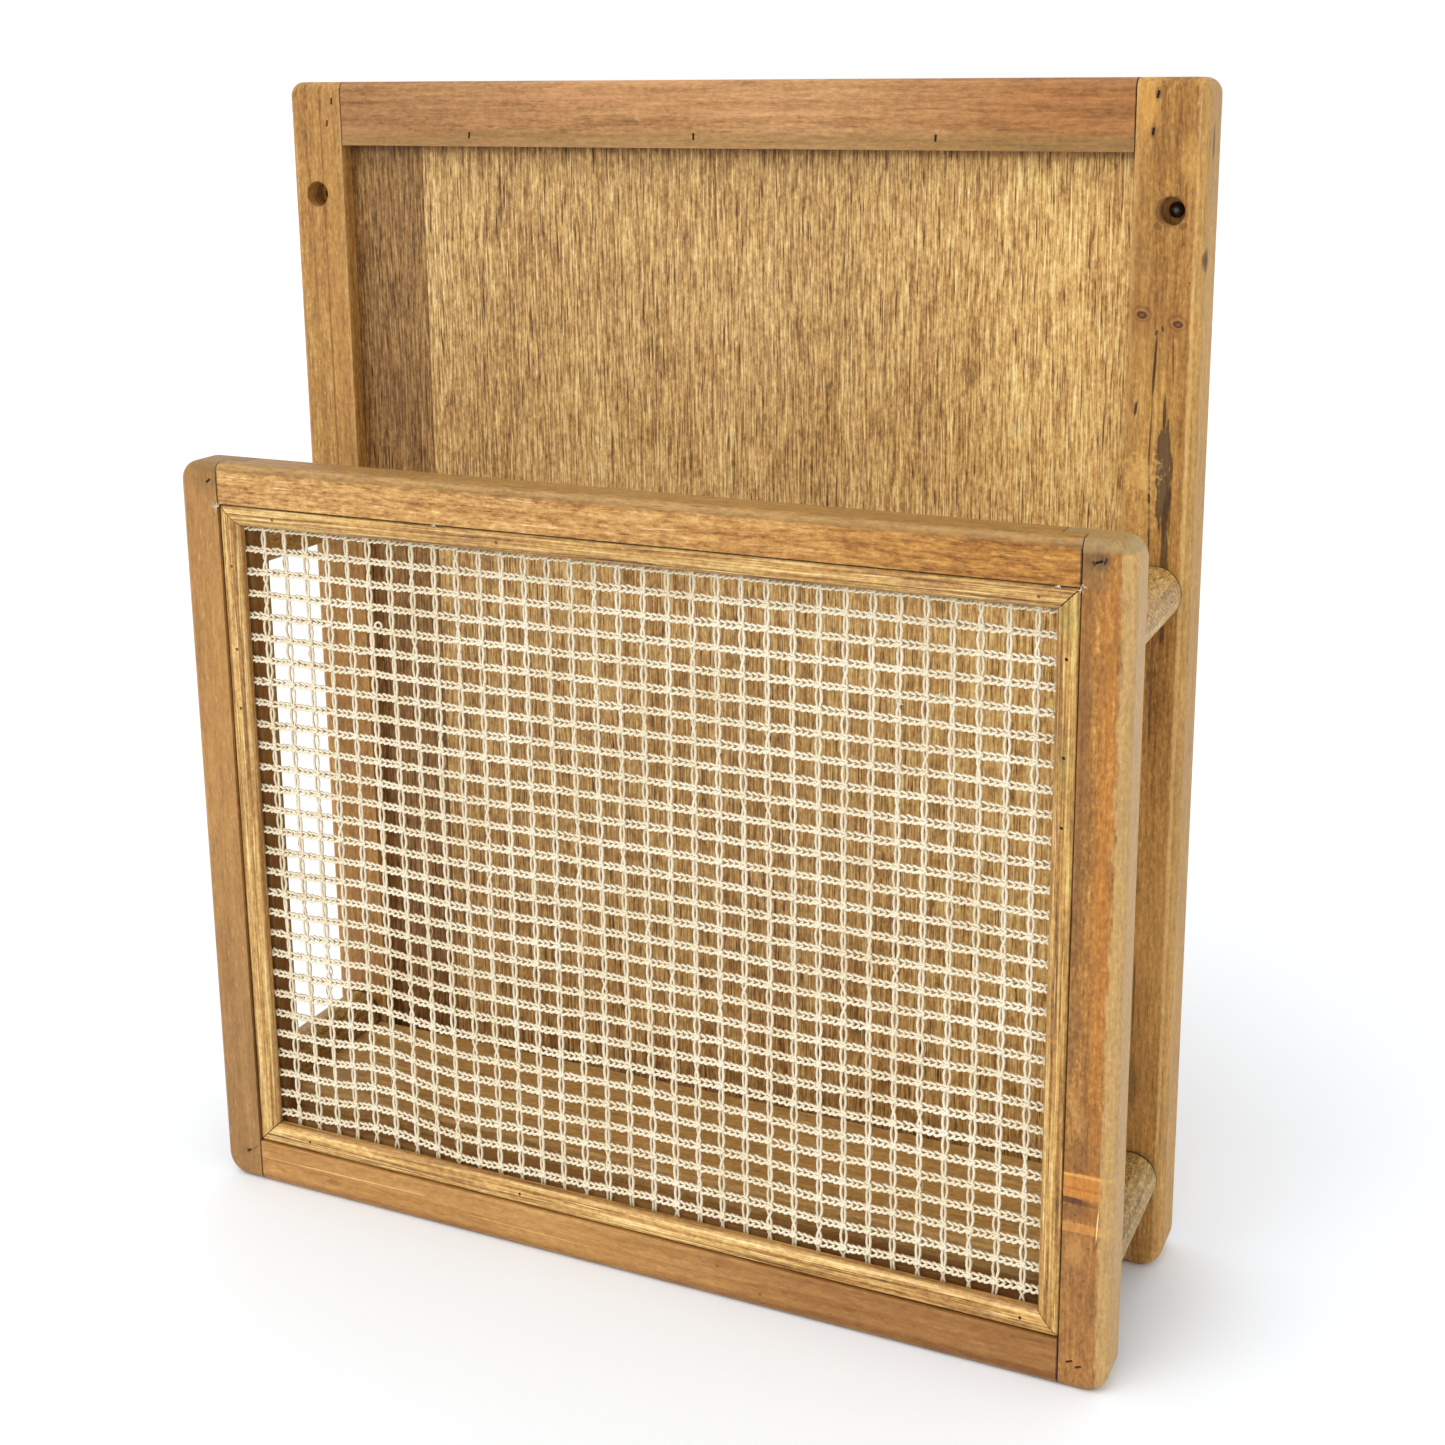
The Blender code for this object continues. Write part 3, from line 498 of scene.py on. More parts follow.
def back_right_marks():
    """Knots, cracks, a mineral streak and a flaked patch on the back frame's right stile, with a painted
    highlight along its rounded right edge and painted light on the hanging hole's walls.
    """
    marks = knot(146.9, 321.4, 1.25) + knot(158.0, 318.9, 1.25)
    marks += [
        spot(151.6, 316.2, 0.5, 0.9, INK, 0.8, tilt=0.3),
        spot(153.4, 317.4, 0.4, 1.0, INK, 0.8, tilt=-0.2),
        spot(151.4, 306.0, 0.4, 10.0, INK, 0.9, tilt=0.04, dent=1.0, ragged=0.3),
        spot(150.8, 283.0, 0.28, 12.0, (84, 56, 32), 0.8, tilt=0.03, ragged=0.3),
        spot(151.3, 262.0, 0.34, 15.0, INK, 0.9, tilt=-0.03, dent=1.0, ragged=0.3),
        spot(157.0, 308.0, 0.28, 7.0, INK, 0.6, tilt=-0.04, dent=0.6, ragged=0.3),
        spot(146.0, 292.5, 0.45, 2.2, INK, 0.9, tilt=0.1, dent=1.0, ragged=0.4),
        spot(155.4, 271.0, 2.4, 17.0, (84, 60, 34), 0.9, soft=0.2, ragged=1.6),
        spot(155.4, 271.0, 1.7, 14.0, (112, 88, 56), 0.7, soft=0.5, ragged=1.2),
        spot(156.6, 244.0, 1.2, 26.0, (80, 56, 34), 0.8, soft=0.4, ragged=1.4),
        spot(155.0, 291.0, 0.5, 7.0, (80, 52, 30), 0.9),
        spot(157.8, 262.0, 0.35, 10.0, (64, 42, 26), 0.7, ragged=0.8),
        spot(148.4, 272.0, 4.6, 5.4, (226, 178, 104), 0.6, soft=1.0, ragged=4.5, rates=(500, 500, 500)),
        spot(149.4, 259.0, 3.0, 5.0, (222, 174, 100), 0.45, soft=1.0, ragged=4.5, rates=(500, 500, 500)),
        spot(154.0, 205.0, 0.5, 20.0, (84, 58, 34), 0.6, ragged=1.2),
        spot(150.5, 225.0, 0.25, 22.0, (84, 58, 34), 0.5, ragged=1.0),
        spot(152.5, 96.0, 0.3, 16.0, INK, 0.6, dent=0.8, ragged=0.5),
        spot(153.0, 66.0, 1.6, 9.0, (92, 68, 42), 0.6, soft=1.0, ragged=1.6),
        # Painted highlight: a light line along the rounded right edge, in place of its sheen
        spot(162.2, 200, 0.7, 200, (230, 188, 120), 0.6, soft=1.2, ragged=0.5),
        spot(146.4, 384.0, 2.8, 9.0, (216, 160, 82), 0.6, soft=1.2, ragged=1.2),
        spot(151.5, 371.0, 3.4, 9.0, (150, 104, 54), 0.45, soft=1.2, ragged=0.8),
        spot(159.5, 368.0, 2.6, 6.0, (214, 162, 88), 0.45, soft=1.2, ragged=0.8),
        spot(149.4, 387.0, 0.9, 2.0, (96, 62, 34), 0.6, soft=1.0),
        spot(148.3, 376.2, 0.9, 2.0, (96, 62, 34), 0.6, soft=1.0),
        spot(154.4, 352.7, 5.1, 5.1, (120, 82, 42), 0.3, soft=0.2, ragged=0.3),
        # Painted light: a lighter colour on the counterbore's walls, against the shade inside the hanging
        # hole
        {
            "at": (154.4 * MM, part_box("back_stile_right")[0].y + 4.6 * MM, 352.7 * MM),
            "half": (6.5 * MM, 4.3 * MM, 6.5 * MM),
            "shade": (222, 178, 120),
            "share": 0.8,
        },
        spot(150.6, 348.2, 1.2, 0.9, (112, 76, 38), 0.7, tilt=0.7, dent=0.5),
        spot(158.4, 348.4, 1.3, 0.9, (112, 76, 38), 0.7, tilt=-0.6, dent=0.5),
        side_spot(29.5, 338.0, 2.4, 3.6, (104, 68, 38), 0.8),
        side_spot(29.5, 338.0, 1.1, 1.8, (70, 44, 26), 0.9),
        side_spot(33.0, 373.0, 1.6, 5.0, (92, 58, 30), 0.8),
        spot(158.8, 343.0, 0.35, 0.6, (104, 66, 36), 0.7),
        spot(161.0, 331.5, 0.35, 0.45, (104, 66, 36), 0.7),
    ]
    return marks


def back_left_marks():
    """A dark glue line and a paler band beside it on the back frame's left stile."""
    return [
        spot(-151.6, 300, 0.35, 110, (124, 82, 40), 0.6, soft=0.8, ragged=0.4),
        spot(-147.5, 320, 3.2, 110, (196, 146, 78), 0.3, soft=0.4, ragged=0.3),
    ]


def flecks(seed, number, x_span, z_span, half_x, half_z, shade, share):
    """Scattered small marks, the same on every run."""
    chance = random.Random(seed)
    return [
        spot(
            chance.uniform(*x_span),
            chance.uniform(*z_span),
            half_x * chance.uniform(0.5, 1.5),
            half_z * chance.uniform(0.5, 1.5),
            shade,
            share * chance.uniform(0.5, 1.0),
            ragged=0.8,
        )
        for _ in range(number)
    ]


SEAM = 0.3 * MM  # between pieces that touch
RAIL_LOOK = {"fibre_rate": (120, 950), "blotch": 0.45, "streak": 0.55}
STILE_LOOK = {"fibre": 0.6, "mottle": 0.45, "streak": 0.6, "blotch": 0.5, "ring": 0.06, "flecks": 0.25}
DOWEL_LOOK = {
    "mottle": 1.1,
    "mottle_rate": (700, 1200),
    "fibre": 0.7,
    "fibre_rate": (160, 800),
    "blotch": 0.5,
    "worn": 0.0,
}
BEAD_LOOK = {
    "blotch": 0.3,
    "streak": 1.1,
    "streak_rate": (6, 620),
    "fibre": 1.3,
    "fibre_rate": (24, 1300),
    "mottle": 0.4,
    "pores": 0.7,
    "pore_rate": (30, 1500),
    "pore_limit": 0.15,
    "pore_tone": (112, 76, 42),
    "flecks": 0.8,
    "fleck_rate": (30, 1500),
    "fleck_limit": 0.1,
    "fleck_tone": (252, 220, 150),
    "worn": 0.0,
    "warp": 0.4 * MM,
    "ring": 0.0,
    "grip": 0.35 * MM,
    "roughness": 0.4,
    "shine": 0.5,
}


def bead_boxes():
    """The corners of each bead's box."""
    return {side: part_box("bead_" + side) for side in ("top", "bottom", "left", "right")}


def front_frame():
    """The woods of the front frame. A wood is its grain's axis, its tones and its look."""
    beads = bead_boxes()
    opening_left, opening_right = beads["left"][0].x, beads["right"][1].x
    # Painted shade, with some dirt, along the seams beside the opening and the beads
    rail_ends = [seam_shade_and_dirt(0, opening_left, 1), seam_shade_and_dirt(0, opening_right, -1)]
    return {
        "front_top_rail": (
            "X",
            GOLD,
            {
                **RAIL_LOOK,
                "zones": [
                    *rail_ends,
                    seam_shade_and_dirt(2, beads["top"][1].z + SEAM, 1),
                    # Painted shade: darker and more orange towards the right end, where less light falls
                    (0, -40 * MM, 150 * MM, (226, 208, 162), 1.0, "MULTIPLY", 0.0),
                    (2, 263.6 * MM, 264.8 * MM, OLD_TOP, 0.75, "MIX", 0.5 * MM),
                ],
                "flecks": 0.55,
                "mottle": 0.6,
                "spots": flecks(3, 14, (-148, 20), (253.6, 264), 2.6, 0.18, (250, 224, 170), 0.6),
            },
        ),
        "front_bottom_rail": (
            "X",
            GOLD,
            {
                **RAIL_LOOK,
                "fibre": 0.35,
                "streak": 0.3,
                "mottle": 0.25,
                "fine": 0.2,
                "pores": 0.3,
                "flecks": 0.15,
                "zones": [
                    *rail_ends,
                    seam_shade_and_dirt(2, beads["bottom"][0].z - SEAM, -1, 0.35, 0.25 * MM),
                    (2, 6 * MM, 1.5 * MM, (206, 190, 160), 0.8, "MULTIPLY", 0.4 * MM),
                    # Painted shade: darker towards the right end, where less light falls
                    (0, -180 * MM, -60 * MM, (242, 240, 232), 1.0, "MULTIPLY", 0.0),
                    (0, -60 * MM, 130 * MM, (214, 202, 196), 1.0, "MULTIPLY", 0.0),
                ],
                "spots": [
                    spot(-112, 10.2, 34, 0.22, (238, 200, 132), 0.75, tilt=-0.012, ragged=0.9),
                    spot(-36, 7.2, 26, 0.2, (232, 190, 120), 0.5, tilt=0.01, ragged=0.9),
                    spot(-118, 6.4, 3.2, 1.0, (108, 72, 40), 0.5, soft=1.0),
                    *flecks(5, 8, (-140, 140), (3, 15), 0.5, 0.4, (112, 72, 38), 0.8),
                ],
            },
        ),
        "front_stile_left": (
            "Z",
            CARAMEL,
            {
                **STILE_LOOK,
                "fibre": 0.4,
                "blotch": 0.35,
                "mottle": 0.25,
                "fine": 0.25,
                "pores": 0.35,
                "zones": [
                    seam_shade_and_dirt(0, opening_left - SEAM, -1, 0.35, 0.25 * MM),
                    (2, 262.5 * MM, 265.5 * MM, (140, 108, 60), 0.7, "MIX", 0.8 * MM),
                    (2, 190 * MM, 10 * MM, (226, 226, 238), 1.0, "MULTIPLY", 0.0),
                ],
                "spots": left_stile_marks(),
            },
        ),
        "front_stile_right": (
            "Z",
            ORANGE,
            {
                **STILE_LOOK,
                "mottle": 0.8,
                "mottle_rate": (500, 900),
                "flecks": 0.5,
                "fleck_rate": (420, 900),
                "fleck_tone": (214, 150, 80),
                "clouds": [((188, 120, 46), 0.4, (60, 60, 12)), ((120, 82, 42), 0.5, (80, 80, 30))],
                "zones": [
                    (2, 90 * MM, 40 * MM, (160, 110, 60), 0.5, "MIX", 0.0),
                    seam_shade_and_dirt(0, opening_right + SEAM, 1),
                ],
                "covers": [
                    (0, 160.2 * MM, 161.8 * MM, SAPWOOD, 0.8, "MIX", 3.6 * MM),
                    (0, 163.6 * MM, 164.6 * MM, (176, 138, 84), 0.35, "MIX", 4.0 * MM),
                    (2, 262.8 * MM, 264.0 * MM, (158, 132, 84), 0.8, "MIX", 2.0 * MM),
                ],
                "spots": right_stile_marks(),
            },
        ),
    }


def back_frame():
    """The woods of the back frame."""
    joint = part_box("back_stile_right")[0].x - SEAM
    # Painted shade, with some dirt, along the seams where the rails meet the stiles
    back_ends = [seam_shade_and_dirt(0, -joint, 1), seam_shade_and_dirt(0, joint, -1)]
    return {
        "back_top_rail": (
            "X",
            ROSE,
            {
                **RAIL_LOOK,
                "fibre": 0.45,
                "fibre_rate": (60, 950),
                "streak": 0.5,
                "mottle": 0.3,
                "flecks": 0.2,
                "worn": 0.08,
                "clouds": [((212, 154, 104), 0.5, (9, 9, 160))],
                "zones": [
                    (0, 30 * MM, 130 * MM, (228, 212, 184), 1.0, "MULTIPLY", 0.0),
                    (0, -30 * MM, -120 * MM, (230, 223, 216), 1.0, "MULTIPLY", 0.0),
                    *back_ends,
                ],
                "covers": [(2, 376.6 * MM, 373.4 * MM, (146, 114, 62), 0.6, "MIX", 0.7 * MM)],
                "spots": [
                    *flecks(8, 7, (-140, 140), (374, 390), 0.35, 0.3, (108, 66, 36), 0.8),
                ],
            },
        ),
        "back_bottom_rail": ("X", BROWN, {**RAIL_LOOK, "zones": back_ends}),
        "back_stile_left": ("Z", HONEY, {**STILE_LOOK, "spots": back_left_marks()}),
        "back_stile_right": (
            "Z",
            HONEY,
            {
                **STILE_LOOK,
                "clouds": [((206, 156, 86), 0.35, (60, 60, 14)), ((140, 98, 50), 0.4, (60, 60, 18))],
                "spots": back_right_marks(),
                "zones": [(0, 162.6 * MM, 163.6 * MM, (188, 148, 84), 0.5, "MIX", 0.5 * MM)],
                "roughness": 0.58,
                "shine": 0.22,
            },
        ),
    }


def panel_and_board():
    """The woods of the plywood panel and of the bottom board."""
    return {
        "back_panel": (
            "Z",
            PLY,
            {
                "blotch": 0.3,
                "blotch_rate": (9, 26),
                "streak": 0.25,
                "streak_rate": (10, 160),
                "fibre": 1.2,
                "fibre_rate": (75, 1300),
                "mottle": 0.5,
                "fine": 0.55,
                "pores": 0.9,
                "pore_rate": (70, 1900),
                "pore_limit": 0.11,
                "pore_tone": (126, 90, 56),
                "flecks": 0.85,
                "fleck_rate": (75, 1800),
                "fleck_limit": 0.09,
                "fleck_tone": (242, 206, 140),
                "ring": 0.0,
                "worn": 0.0,
                "roughness": 0.55,
                "grip": 0.2 * MM,
                "zones": [
                    (0, -113.2 * MM, -113.5 * MM, (186, 172, 158), 0.9, "MULTIPLY", 0.0),
                    (0, 20 * MM, 143 * MM, (255, 238, 214), 0.5, "SOFT_LIGHT", 0.0),
                    # Painted shadow of the top rail: a darker band along the top of the panel
                    (2, 366 * MM, 370 * MM, (160, 140, 116), 0.8, "MULTIPLY", 0.4 * MM),
                ],
                "spots": [spot(-113.4, 196, 0.25, 400, (110, 76, 40), 0.6, soft=0.6, ragged=0.0)],
            },
        ),
        "bottom_board": ("X", PALE, {"fibre": 0.6}),
    }


def dowels():
    """The woods of the four dowels, each with a dark line of painted shade and dirt where it meets the back
    frame, and the lower two darker all over as painted shade.
    """
    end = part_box("back_stile_right")[0].y - SEAM
    woods = {}
    for level in ("upper", "lower"):
        for side in ("left", "right"):
            # Painted shade, with some dirt, in a dark line where the dowel meets the back frame
            zones = [(1, end - 1.5 * MM, end - 1.1 * MM, INK, 0.9, "MIX", 0.2 * MM)]
            # Painted shade: the lower dowels darker all over, as less light reaches them
            if level == "lower":
                zones.append((1, 1.0, -1.0, (217, 229, 245), 1.0, "MULTIPLY", 0.0))
            woods[f"dowel_{level}_{side}"] = ("Y", OLIVE, {**DOWEL_LOOK, "zones": zones})
    return woods


def bead_woods():
    """The woods of the four beads, with painted shade and dirt along the outer edges and painted shade along
    the inner ones.
    """
    woods = {}
    for side, (low, high) in bead_boxes().items():
        grain = "X" if side in ("top", "bottom") else "Z"
        axis = GRAINS[grain][1]
        outwards = 1 if side in ("top", "right") else -1
        outer, inner = (high, low) if outwards > 0 else (low, high)
        line, ridge = inner[axis] + outwards * 0.1 * MM, inner[axis] + outwards * 1.2 * MM
        share = 0.75 if outwards > 0 else 0.4
        # Painted shade with some dirt at the outer seam, and painted shade along the inner edge, whose side
        # falls into shade
        zones = [
            seam_shade_and_dirt(axis, outer[axis], -outwards, share, 0.3 * MM),
            (axis, ridge, line, (138, 92, 44), 0.55, "MIX", 0.15 * MM),
        ]
        look = {**BEAD_LOOK, "zones": zones}
        if side == "right":
            zones.append((axis, inner[axis], outer[axis], (236, 228, 190), 0.7, "MULTIPLY", 0.0))
            look["spots"] = [
                spot(145.6, 243.5, 2.6, 6.0, (150, 142, 62), 0.4, soft=1.2),
                spot(145.6, 200.0, 2.2, 7.0, (158, 146, 70), 0.3, soft=1.2),
            ]
        woods["bead_" + side] = (grain, STRAW, look)
    return woods


def cad_surfaces():
    """Gives every CAD node that shows its own material."""
    woods = {**front_frame(), **back_frame(), **panel_and_board(), **dowels(), **bead_woods()}
    for seed, (name, (grain, tones, look)) in enumerate(woods.items()):
        nodes[name].data.materials[0] = wood(name, grain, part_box(name), tones, seed + 1.0, **look)
        sand(nodes[name])
    dark_steel = steel("dark_steel", (46, 38, 32), 0.45)
    filled = steel("filled_brad", (150, 112, 62), 0.8)
    enamel = lacquer("screw_enamel")
    for name, node in nodes.items():
        if name in woods or name == "net_panel":
            continue
        surface = dark_steel
        if name.startswith("hanging_screw"):
            surface = enamel
        elif name.startswith(("bead_brad_top", "bead_brad_left")):
            surface = filled
        node.data.materials[0] = surface
        sand(node)


def sanded_shading():
    """A node group that joins the CAD mesh's split corners and shades it smooth up to a 38 degree edge."""
    tree = bpy.data.node_groups.new("sanded_shading", "GeometryNodeTree")
    for side in ("INPUT", "OUTPUT"):
        tree.interface.new_socket("Geometry", in_out=side, socket_type="NodeSocketGeometry")
    steps = [tree.nodes.new("NodeGroupInput").outputs[0]]

    def then(kind, **settings):
        made = tree.nodes.new(kind)
        for key, value in settings.items():
            setattr(made, key, value)
        tree.links.new(steps[-1], made.inputs["Geometry"])
        steps.append(made.outputs["Geometry"])
        return made

    then("GeometryNodeRemoveAttribute").inputs["Name"].default_value = "custom_normal"
    then("GeometryNodeMergeByDistance").inputs["Distance"].default_value = 0.004 * MM
    then("GeometryNodeSetShadeSmooth", domain="FACE").inputs["Shade Smooth"].default_value = True
    sharp = then("GeometryNodeSetShadeSmooth", domain="EDGE")
    sharp.inputs["Shade Smooth"].default_value = False
    angle = tree.nodes.new("GeometryNodeInputMeshEdgeAngle")
    above = tree.nodes.new("FunctionNodeCompare")
    above.operation = "GREATER_THAN"
    above.inputs[1].default_value = math.radians(38)
    tree.links.new(angle.outputs[0], above.inputs[0])
    tree.links.new(above.outputs[0], sharp.inputs["Selection"])
    tree.links.new(steps[-1], tree.nodes.new("NodeGroupOutput").inputs[0])
    return tree


def sand(node):
    """Smooth shading for a CAD node, by modifiers, so that its own mesh stays as imported."""
    node.modifiers.new("sanded", "NODES").node_group = SANDED
    level = node.modifiers.new("level_faces", "WEIGHTED_NORMAL")
    level.keep_sharp = True
    level.weight = 100


# ---------------------------------------------------------------- the net

TWINE_UV = "twine"
TWIST_PITCH = 1.6  # mm of twine for one turn of its plies
COLUMNS = 33
COLUMN_PITCH = 8.48
FIRST_COLUMN = -135.4
ROWS = 29
ROW_PITCH = 7.77
TOP_ROW = 244.8
NET_PLANE = -40.65
NET_EDGE = 146.5  # how far the net reaches under the side beads
CHAIN_RADIUS = 0.46
STRAND_RADIUS = 0.48
SIDES = 5  # of a tube
# One chain loop, from its point to its head and back: (share of its length, share of its half width, depth)
LOOP_LEG = [(0.0, 0.1, 0.3), (0.25, 0.5, -0.3), (0.6, 0.9, -0.45), (0.92, 1.0, -0.2), (1.14, 0.6, 0.3)]
LOOP_HEAD = (1.22, 0.0, 0.5)
LOOP_SLANT = 0.42  # how much further forward a loop's lower leg lies than its upper one
# The four loops of one mesh: point, from the column; leg length; half width
MESH_LOOPS = [(1.05, 2.3, 0.72), (-1.0, 2.3, 0.86), (-3.05, 2.3, 0.9), (-5.1, 2.35, 0.86)]
KNOT = [(0.95, 0.3, 0.35), (0.6, 0.0, -0.45), (0.0, -0.2, -0.64), (-0.6, -0.15, -0.45), (-0.95, 0.1, 0.3)]
KNOT_RADIUS = 0.4
BACKING = (0.86, 0.14, 2.83)  # depth of the strand behind a row, how far it waves, and a wave's length
BOW = (0.6, 0.98)  # how far a column's two strands stand apart between rows
PINCH = 0.2  # and where a row holds them
SWAP_SHARE = 0.1  # share of the meshes where the two strands cross
STRAY_SHARE = 0.16  # share of the meshes with a stray third strand
STRAY_RADIUS = 0.2
EDGE_PLACES = (141.2, 142.6)  # where the strand at the right edge passes a row and a mesh
SAG_START = 220  # mm from the top row to where the sag is full
SAG_BELLIES = [(1.7, -101, 16), (-1.5, -62, 20)]  # height, place and width of the two big waves at the left
CURL = (-89.6, -41.5, 215.6)
CURL_SIZE = (1.15, 1.1)
# Tufts of frayed ends: x, y, z, length of the hairs, number of hairs
TUFTS = [
    (107, -41.2, 215, 1.6, 5),
    (94, -41.2, 211, 1.4, 5),
    (-149.4, -45.9, 252.0, 1.7, 10),
    (149.3, -45.7, 252.6, 1.1, 8),
    (-63.0, -45.8, 253.0, 1.0, 6),
    (143.0, -45.8, 252.8, 0.9, 6),
]
HAIR_RADIUS = 0.17


def blend_weights(count, samples):
    """Weights that turn count control points into samples points on a Catmull-Rom curve."""
    weights = np.zeros((samples, count))
    for row, t in enumerate(np.linspace(0, count - 1, samples)):
        i = min(int(t), count - 2)
        f = t - i
        basis = (
            -0.5 * f**3 + f**2 - 0.5 * f,
            1.5 * f**3 - 2.5 * f**2 + 1,
            -1.5 * f**3 + 2 * f**2 + 0.5 * f,
            0.5 * f**3 - 0.5 * f**2,
        )
        for k, b in zip(range(i - 1, i + 3), basis):
            weights[row, min(max(k, 0), count - 1)] += b
    return weights


class Tubes:
    """Collects closed tubes of twine and makes them one mesh. Points are in millimetres."""

    def __init__(self):
        self.points, self.faces, self.uvs, self.count = [], [], [], 0

    def add(self, paths, radius, samples=None, sides=SIDES, taper=1.0):
        """paths is an array of equally long control paths. Each becomes a tube with closed ends."""
        paths = np.asarray(paths, float)
        if samples:
            paths = np.einsum("sk,nkc->nsc", blend_weights(paths.shape[1], samples), paths)
        number, length, _ = paths.shape
        ahead = np.gradient(paths, axis=1)
        ahead /= np.linalg.norm(ahead, axis=2, keepdims=True) + 1e-9
        flat = np.cross(ahead, (0.03, 1.0, 0.02))
        flat /= np.linalg.norm(flat, axis=2, keepdims=True) + 1e-9
        up = np.cross(ahead, flat)
        angles = np.arange(sides) * 2 * math.pi / sides
        thick = radius * np.linspace(1, taper, length)[None, :, None, None]
        rings = paths[:, :, None] + thick * (
            np.cos(angles)[None, None, :, None] * flat[:, :, None]
            + np.sin(angles)[None, None, :, None] * up[:, :, None]
        )
        self.points.append(rings.reshape(-1, 3))
        start = self.count + np.arange(number)[:, None, None] * length * sides
        ring = np.arange(length - 1)[None, :, None] * sides
        side = np.arange(sides)[None, None, :]
        after = (side + 1) % sides
        a, b = start + ring + side, start + ring + after
        quads = np.stack([a, b, b + sides, a + sides], axis=-1).reshape(-1, 4)
        self.faces.extend(quads.tolist())
        travelled = np.concatenate(
            [np.zeros((number, 1)), np.cumsum(np.linalg.norm(np.diff(paths, axis=1), axis=2), axis=1)],
            axis=1,
        )
        u0 = np.broadcast_to(travelled[:, :-1, None], (number, length - 1, sides))
        u1 = np.broadcast_to(travelled[:, 1:, None], u0.shape)
        v0 = np.broadcast_to(side / sides, u0.shape)
        v1 = v0 + 1 / sides
        corners = [np.stack(pair, axis=-1) for pair in ((u0, v0), (u0, v1), (u1, v1), (u1, v0))]
        self.uvs.append(np.stack(corners, axis=3).reshape(-1, 2))
        for end, order in ((0, -1), (length - 1, 1)):
            caps = (start[:, 0, :] + end * sides + np.arange(sides)[None, ::order]).reshape(number, sides)
            self.faces.extend(caps.tolist())
            self.uvs.append(np.repeat(travelled[:, end], sides)[:, None] * (1.0, 0.0))
        self.count += number * length * sides

    def piece(self, name, material):
        mesh = bpy.data.meshes.new(name)
        mesh.from_pydata((np.concatenate(self.points) * MM).tolist(), [], self.faces)
        layer = mesh.uv_layers.new(name=TWINE_UV)
        layer.data.foreach_set("uv", np.concatenate(self.uvs).astype(np.float32).ravel())
        mesh.shade_smooth()
        mesh.materials.append(material)
        made = bpy.data.objects.new(name, mesh)
        bpy.context.scene.collection.objects.link(made)
        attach(made, "root")
        return made


def sag(x, z):
    """How far a row hangs below its straight line: nothing at the top, in waves towards the bottom."""
    low = np.clip((TOP_ROW - z) / SAG_START, 0, 1) ** 1.6
    wave = sum(height * np.exp(-(((x - at) / wide) ** 2)) for height, at, wide in SAG_BELLIES)
    wave = wave + 0.55 * np.sin(x / 17 + 0.6) + 0.3 * np.sin(x / 7.3 + z / 31)
    return low * wave + 0.12 * np.sin(x / 9.0 + z * 1.3)


def lean(x, z):
    """How far a column strays sideways. The first ones on the left stray most."""
    left = np.exp(-((x + 140) / 26))
    return (0.25 + 0.75 * left) * (0.7 * np.sin(z / 38 + x / 11) + 0.35 * np.sin(z / 13 + x * 1.7))


def net_point(x, z, depth):
    """A point of the flat net, moved to where the hanging net really has it."""
    x, z = np.asarray(x, float), np.asarray(z, float)
    return np.stack([x + lean(x, z), NET_PLANE + np.asarray(depth, float) + 0 * x, z + sag(x, z)], axis=-1)


def chain_rows(tubes, chance):
    """The crocheted rows: each mesh has four nested loops and a knot over its column, and a strand behind."""
    columns = FIRST_COLUMN + COLUMN_PITCH * np.arange(-1, COLUMNS + 1)
    legs = [(a, side * b, d) for side, part in ((1, LOOP_LEG), (-1, LOOP_LEG[::-1])) for a, b, d in part]
    outline = np.array(legs[: len(LOOP_LEG)] + [LOOP_HEAD] + legs[len(LOOP_LEG) :])
    knot_shape = np.array(KNOT)
    for row in range(ROWS):
        z = TOP_ROW - ROW_PITCH * row
        loops, knots = [], []
        for number, column in enumerate(columns):
            for point, length, half in MESH_LOOPS:
                tip = column + point + chance.uniform(-0.15, 0.15)
                if not -NET_EDGE < tip < NET_EDGE:
                    continue
                long = length * chance.uniform(0.94, 1.06)
                wide = half * chance.uniform(0.85, 1.12)
                tilt = chance.uniform(-0.16, 0.16)
                x = tip - outline[:, 0] * long
                height = outline[:, 1] * wide + tilt * outline[:, 0] * long * 0.35
                depth = outline[:, 2] + LOOP_SLANT * outline[:, 1]
                loops.append(net_point(x, z + height + chance.uniform(-0.1, 0.1), depth))
            if 0 < number <= COLUMNS:
                x = column + knot_shape[:, 0] * chance.uniform(0.85, 1.1)
                height = z + knot_shape[:, 1] + chance.uniform(-0.15, 0.15)
                knots.append(net_point(x, height, knot_shape[:, 2]))
        tubes.add(loops, CHAIN_RADIUS, samples=13)
        tubes.add(knots, KNOT_RADIUS, samples=8)
        x = np.arange(-NET_EDGE, NET_EDGE, 1.4)
        middle, swing, wave = BACKING
        depth = middle + swing * np.sin(x * 2 * math.pi / wave)
        tubes.add([net_point(x, z + 0.25 * np.sin(x * 1.1), depth)], CHAIN_RADIUS)


